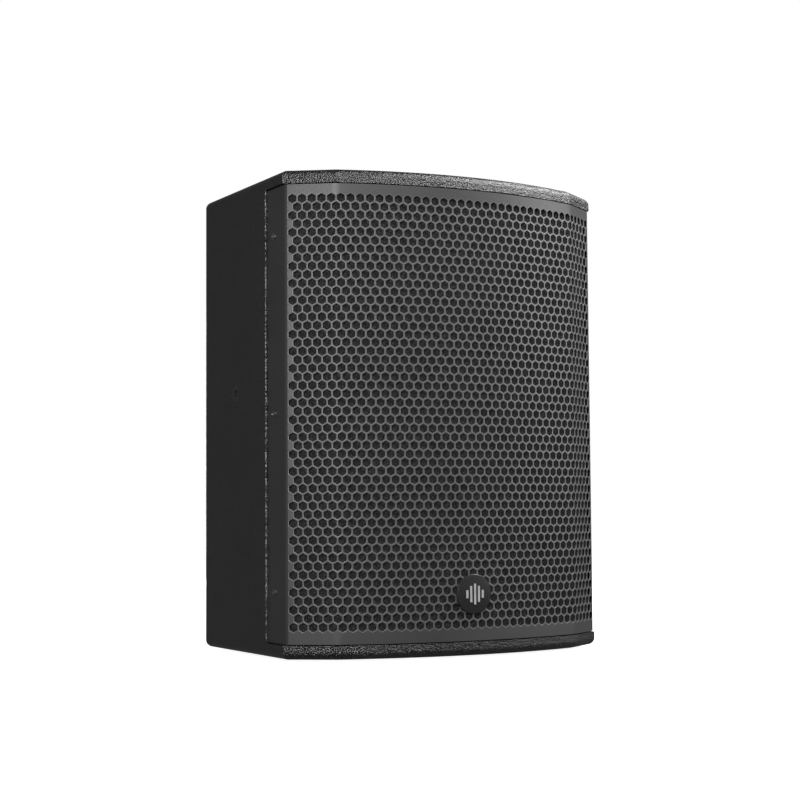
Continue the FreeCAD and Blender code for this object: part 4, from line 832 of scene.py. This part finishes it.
def make_spider():
    """The corrugated cloth that centres the woofer's coil."""
    line = corrugated(*SPIDER_RADII, SPIDER_Y, SPIDER_WAVE, SPIDER_WAVES)
    profile = skin(line, SPIDER_THICKNESS)
    ring = ring_mesh("woofer_spider_corrugated", "woofer_spider", profile, WOOFER_Z, WOOFER_SEGMENTS)
    flex(ring, WOOFER_Z, SPIDER_RADII[1], SPIDER_RADII[2])


def make_suspension():
    """The treble diaphragm's thin ribbed edge."""
    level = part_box("driver_suspension")[0].y + SUSPENSION_LIFT
    line = corrugated(*SUSPENSION_RADII, level, SUSPENSION_WAVE, SUSPENSION_WAVES)
    profile = skin(line, SUSPENSION_THICKNESS)
    ring = ring_mesh("driver_suspension_ribbed", "driver_suspension", profile, DRIVER_Z, DRIVER_SEGMENTS)
    flex(ring, DRIVER_Z, SUSPENSION_RADII[1], SUSPENSION_RADII[2])


WADDING_VOXEL = 6 * MM
WADDING_SMOOTHING = 3
WADDING_SINK = 1.5 * MM
WADDING_LUMP = 1.3 * MM
WADDING_LUMP_SCALE = 38.0


def remeshed(node):
    """A CAD node's shape as an even mesh with rounded corners."""
    copy = bpy.data.objects.new("wadding_remesh", NODES[node].data.copy())
    bpy.context.scene.collection.objects.link(copy)
    remesh = copy.modifiers.new("remesh", "REMESH")
    remesh.mode = "VOXEL"
    remesh.voxel_size = WADDING_VOXEL
    copy.modifiers.new("smooth", "SMOOTH").iterations = WADDING_SMOOTHING
    evaluated = copy.evaluated_get(bpy.context.evaluated_depsgraph_get())
    mesh = bpy.data.meshes.new_from_object(evaluated)
    bpy.data.objects.remove(copy)
    return mesh


def make_wadding():
    """Polyester wadding: the lining's shape with a lofty, lumpy face and rounded corners."""
    mesh = remeshed("damping_wadding")
    vertices = []
    for vertex in mesh.vertices:
        lump = noise.noise(vertex.co * WADDING_LUMP_SCALE)
        vertices.append(vertex.co - vertex.normal * (WADDING_SINK + WADDING_LUMP * lump))
    faces = [tuple(polygon.vertices) for polygon in mesh.polygons]
    piece = make_piece("damping_wadding_lofted", vertices, faces, "damping_wadding", 180)


# ---- Camera, light and floor -------------------------------------------------------

CAMERA_PLACE = (-0.9500, -1.7505, 0.1578)
CAMERA_YAW = math.radians(-28.18)
CAMERA_PITCH = math.radians(3.691)
CAMERA_ROLL = math.radians(-0.392)
CAMERA_LENS = 77.81
CAMERA_SENSOR = 36

# Each soft box: compass angle from straight ahead, distance, height and power.
SOFT_BOXES = {
    "left_key": (-35, 1.8, 0.6, 21),
    "front_top": (0, 1.2, 1.4, 14),
    "right_top": (60, 1.0, 1.2, 12),
    "right_key": (60, 1.6, 0.5, 7),
    "right_edge": (80, 1.0, 1.2, 11),
    "rear": (165, 2.2, 0.35, 9),
}
SOFT_BOX_SIZE = 0.6
LIT_POINT = (0, -0.05, 0.3)
WORLD_LIGHT = 0.11
WORLD_SEEN = 1.0
FLOOR_HALF_SIZE = 60.0
FLOOR_GLOW = 0.95


def make_camera():
    data = bpy.data.cameras.new("camera")
    data.lens = CAMERA_LENS
    data.sensor_width = CAMERA_SENSOR
    camera = bpy.data.objects.new("camera", data)
    turn = Matrix.Rotation(CAMERA_YAW, 4, "Z") @ Matrix.Rotation(math.pi / 2 + CAMERA_PITCH, 4, "X")
    camera.matrix_world = Matrix.Translation(CAMERA_PLACE) @ turn @ Matrix.Rotation(CAMERA_ROLL, 4, "Z")
    bpy.context.scene.collection.objects.link(camera)
    bpy.context.scene.camera = camera


def soft_box(name, compass, distance, height, power):
    data = bpy.data.lights.new(name, "AREA")
    data.shape = "SQUARE"
    data.size = SOFT_BOX_SIZE
    data.energy = power
    light = bpy.data.objects.new(name, data)
    compass = math.radians(compass)
    place = Vector((distance * math.sin(compass), -distance * math.cos(compass), height))
    turn = (Vector(LIT_POINT) - place).to_track_quat("-Z", "Y").to_matrix().to_4x4()
    light.matrix_world = Matrix.Translation(place) @ turn
    bpy.context.scene.collection.objects.link(light)


def make_studio():
    """Soft boxes, in a room that is dim to the object and white to the camera."""
    for name, settings in SOFT_BOXES.items():
        soft_box(name, *settings)
    world = bpy.data.worlds.new("studio")
    world.use_nodes = True
    tree = world.node_tree
    background = tree.nodes["Background"]
    background.inputs["Color"].default_value = (1, 1, 1, 1)
    seen = tree.nodes.new("ShaderNodeLightPath").outputs["Is Camera Ray"]
    level = tree.nodes.new("ShaderNodeMapRange")
    level.inputs["To Min"].default_value = WORLD_LIGHT
    level.inputs["To Max"].default_value = WORLD_SEEN
    tree.links.new(seen, level.inputs["Value"])
    tree.links.new(level.outputs["Result"], background.inputs["Strength"])
    bpy.context.scene.world = world
    bpy.context.scene.view_settings.view_transform = "Standard"


def floor_material():
    nodes = Nodes("floor")
    nodes.link(nodes.spread(nodes.noise(3, detail=2), 0.8, 0.84), nodes.shader.inputs["Base Color"])
    nodes.shader.inputs["Roughness"].default_value = 0.8
    nodes.shader.inputs["Emission Color"].default_value = (1, 1, 1, 1)
    nodes.shader.inputs["Emission Strength"].default_value = FLOOR_GLOW
    return nodes.material


def make_floor():
    """A plain pale floor, bright enough to read as white round the cabinet's soft shadow."""
    half = FLOOR_HALF_SIZE
    corners = [(-half, -half, 0), (half, -half, 0), (half, half, 0), (-half, half, 0)]
    mesh = bpy.data.meshes.new("floor")
    mesh.from_pydata(corners, [], [(0, 1, 2, 3)])
    mesh.materials.append(floor_material())
    floor = bpy.data.objects.new("floor", mesh)
    floor.visible_diffuse = False
    floor.visible_glossy = False
    bpy.context.scene.collection.objects.link(floor)


make_camera()
make_studio()
make_floor()
paint_nodes()
make_grille()
make_foam()
make_paint_beads()
make_surround()
make_spider()
make_suspension()
make_wadding()
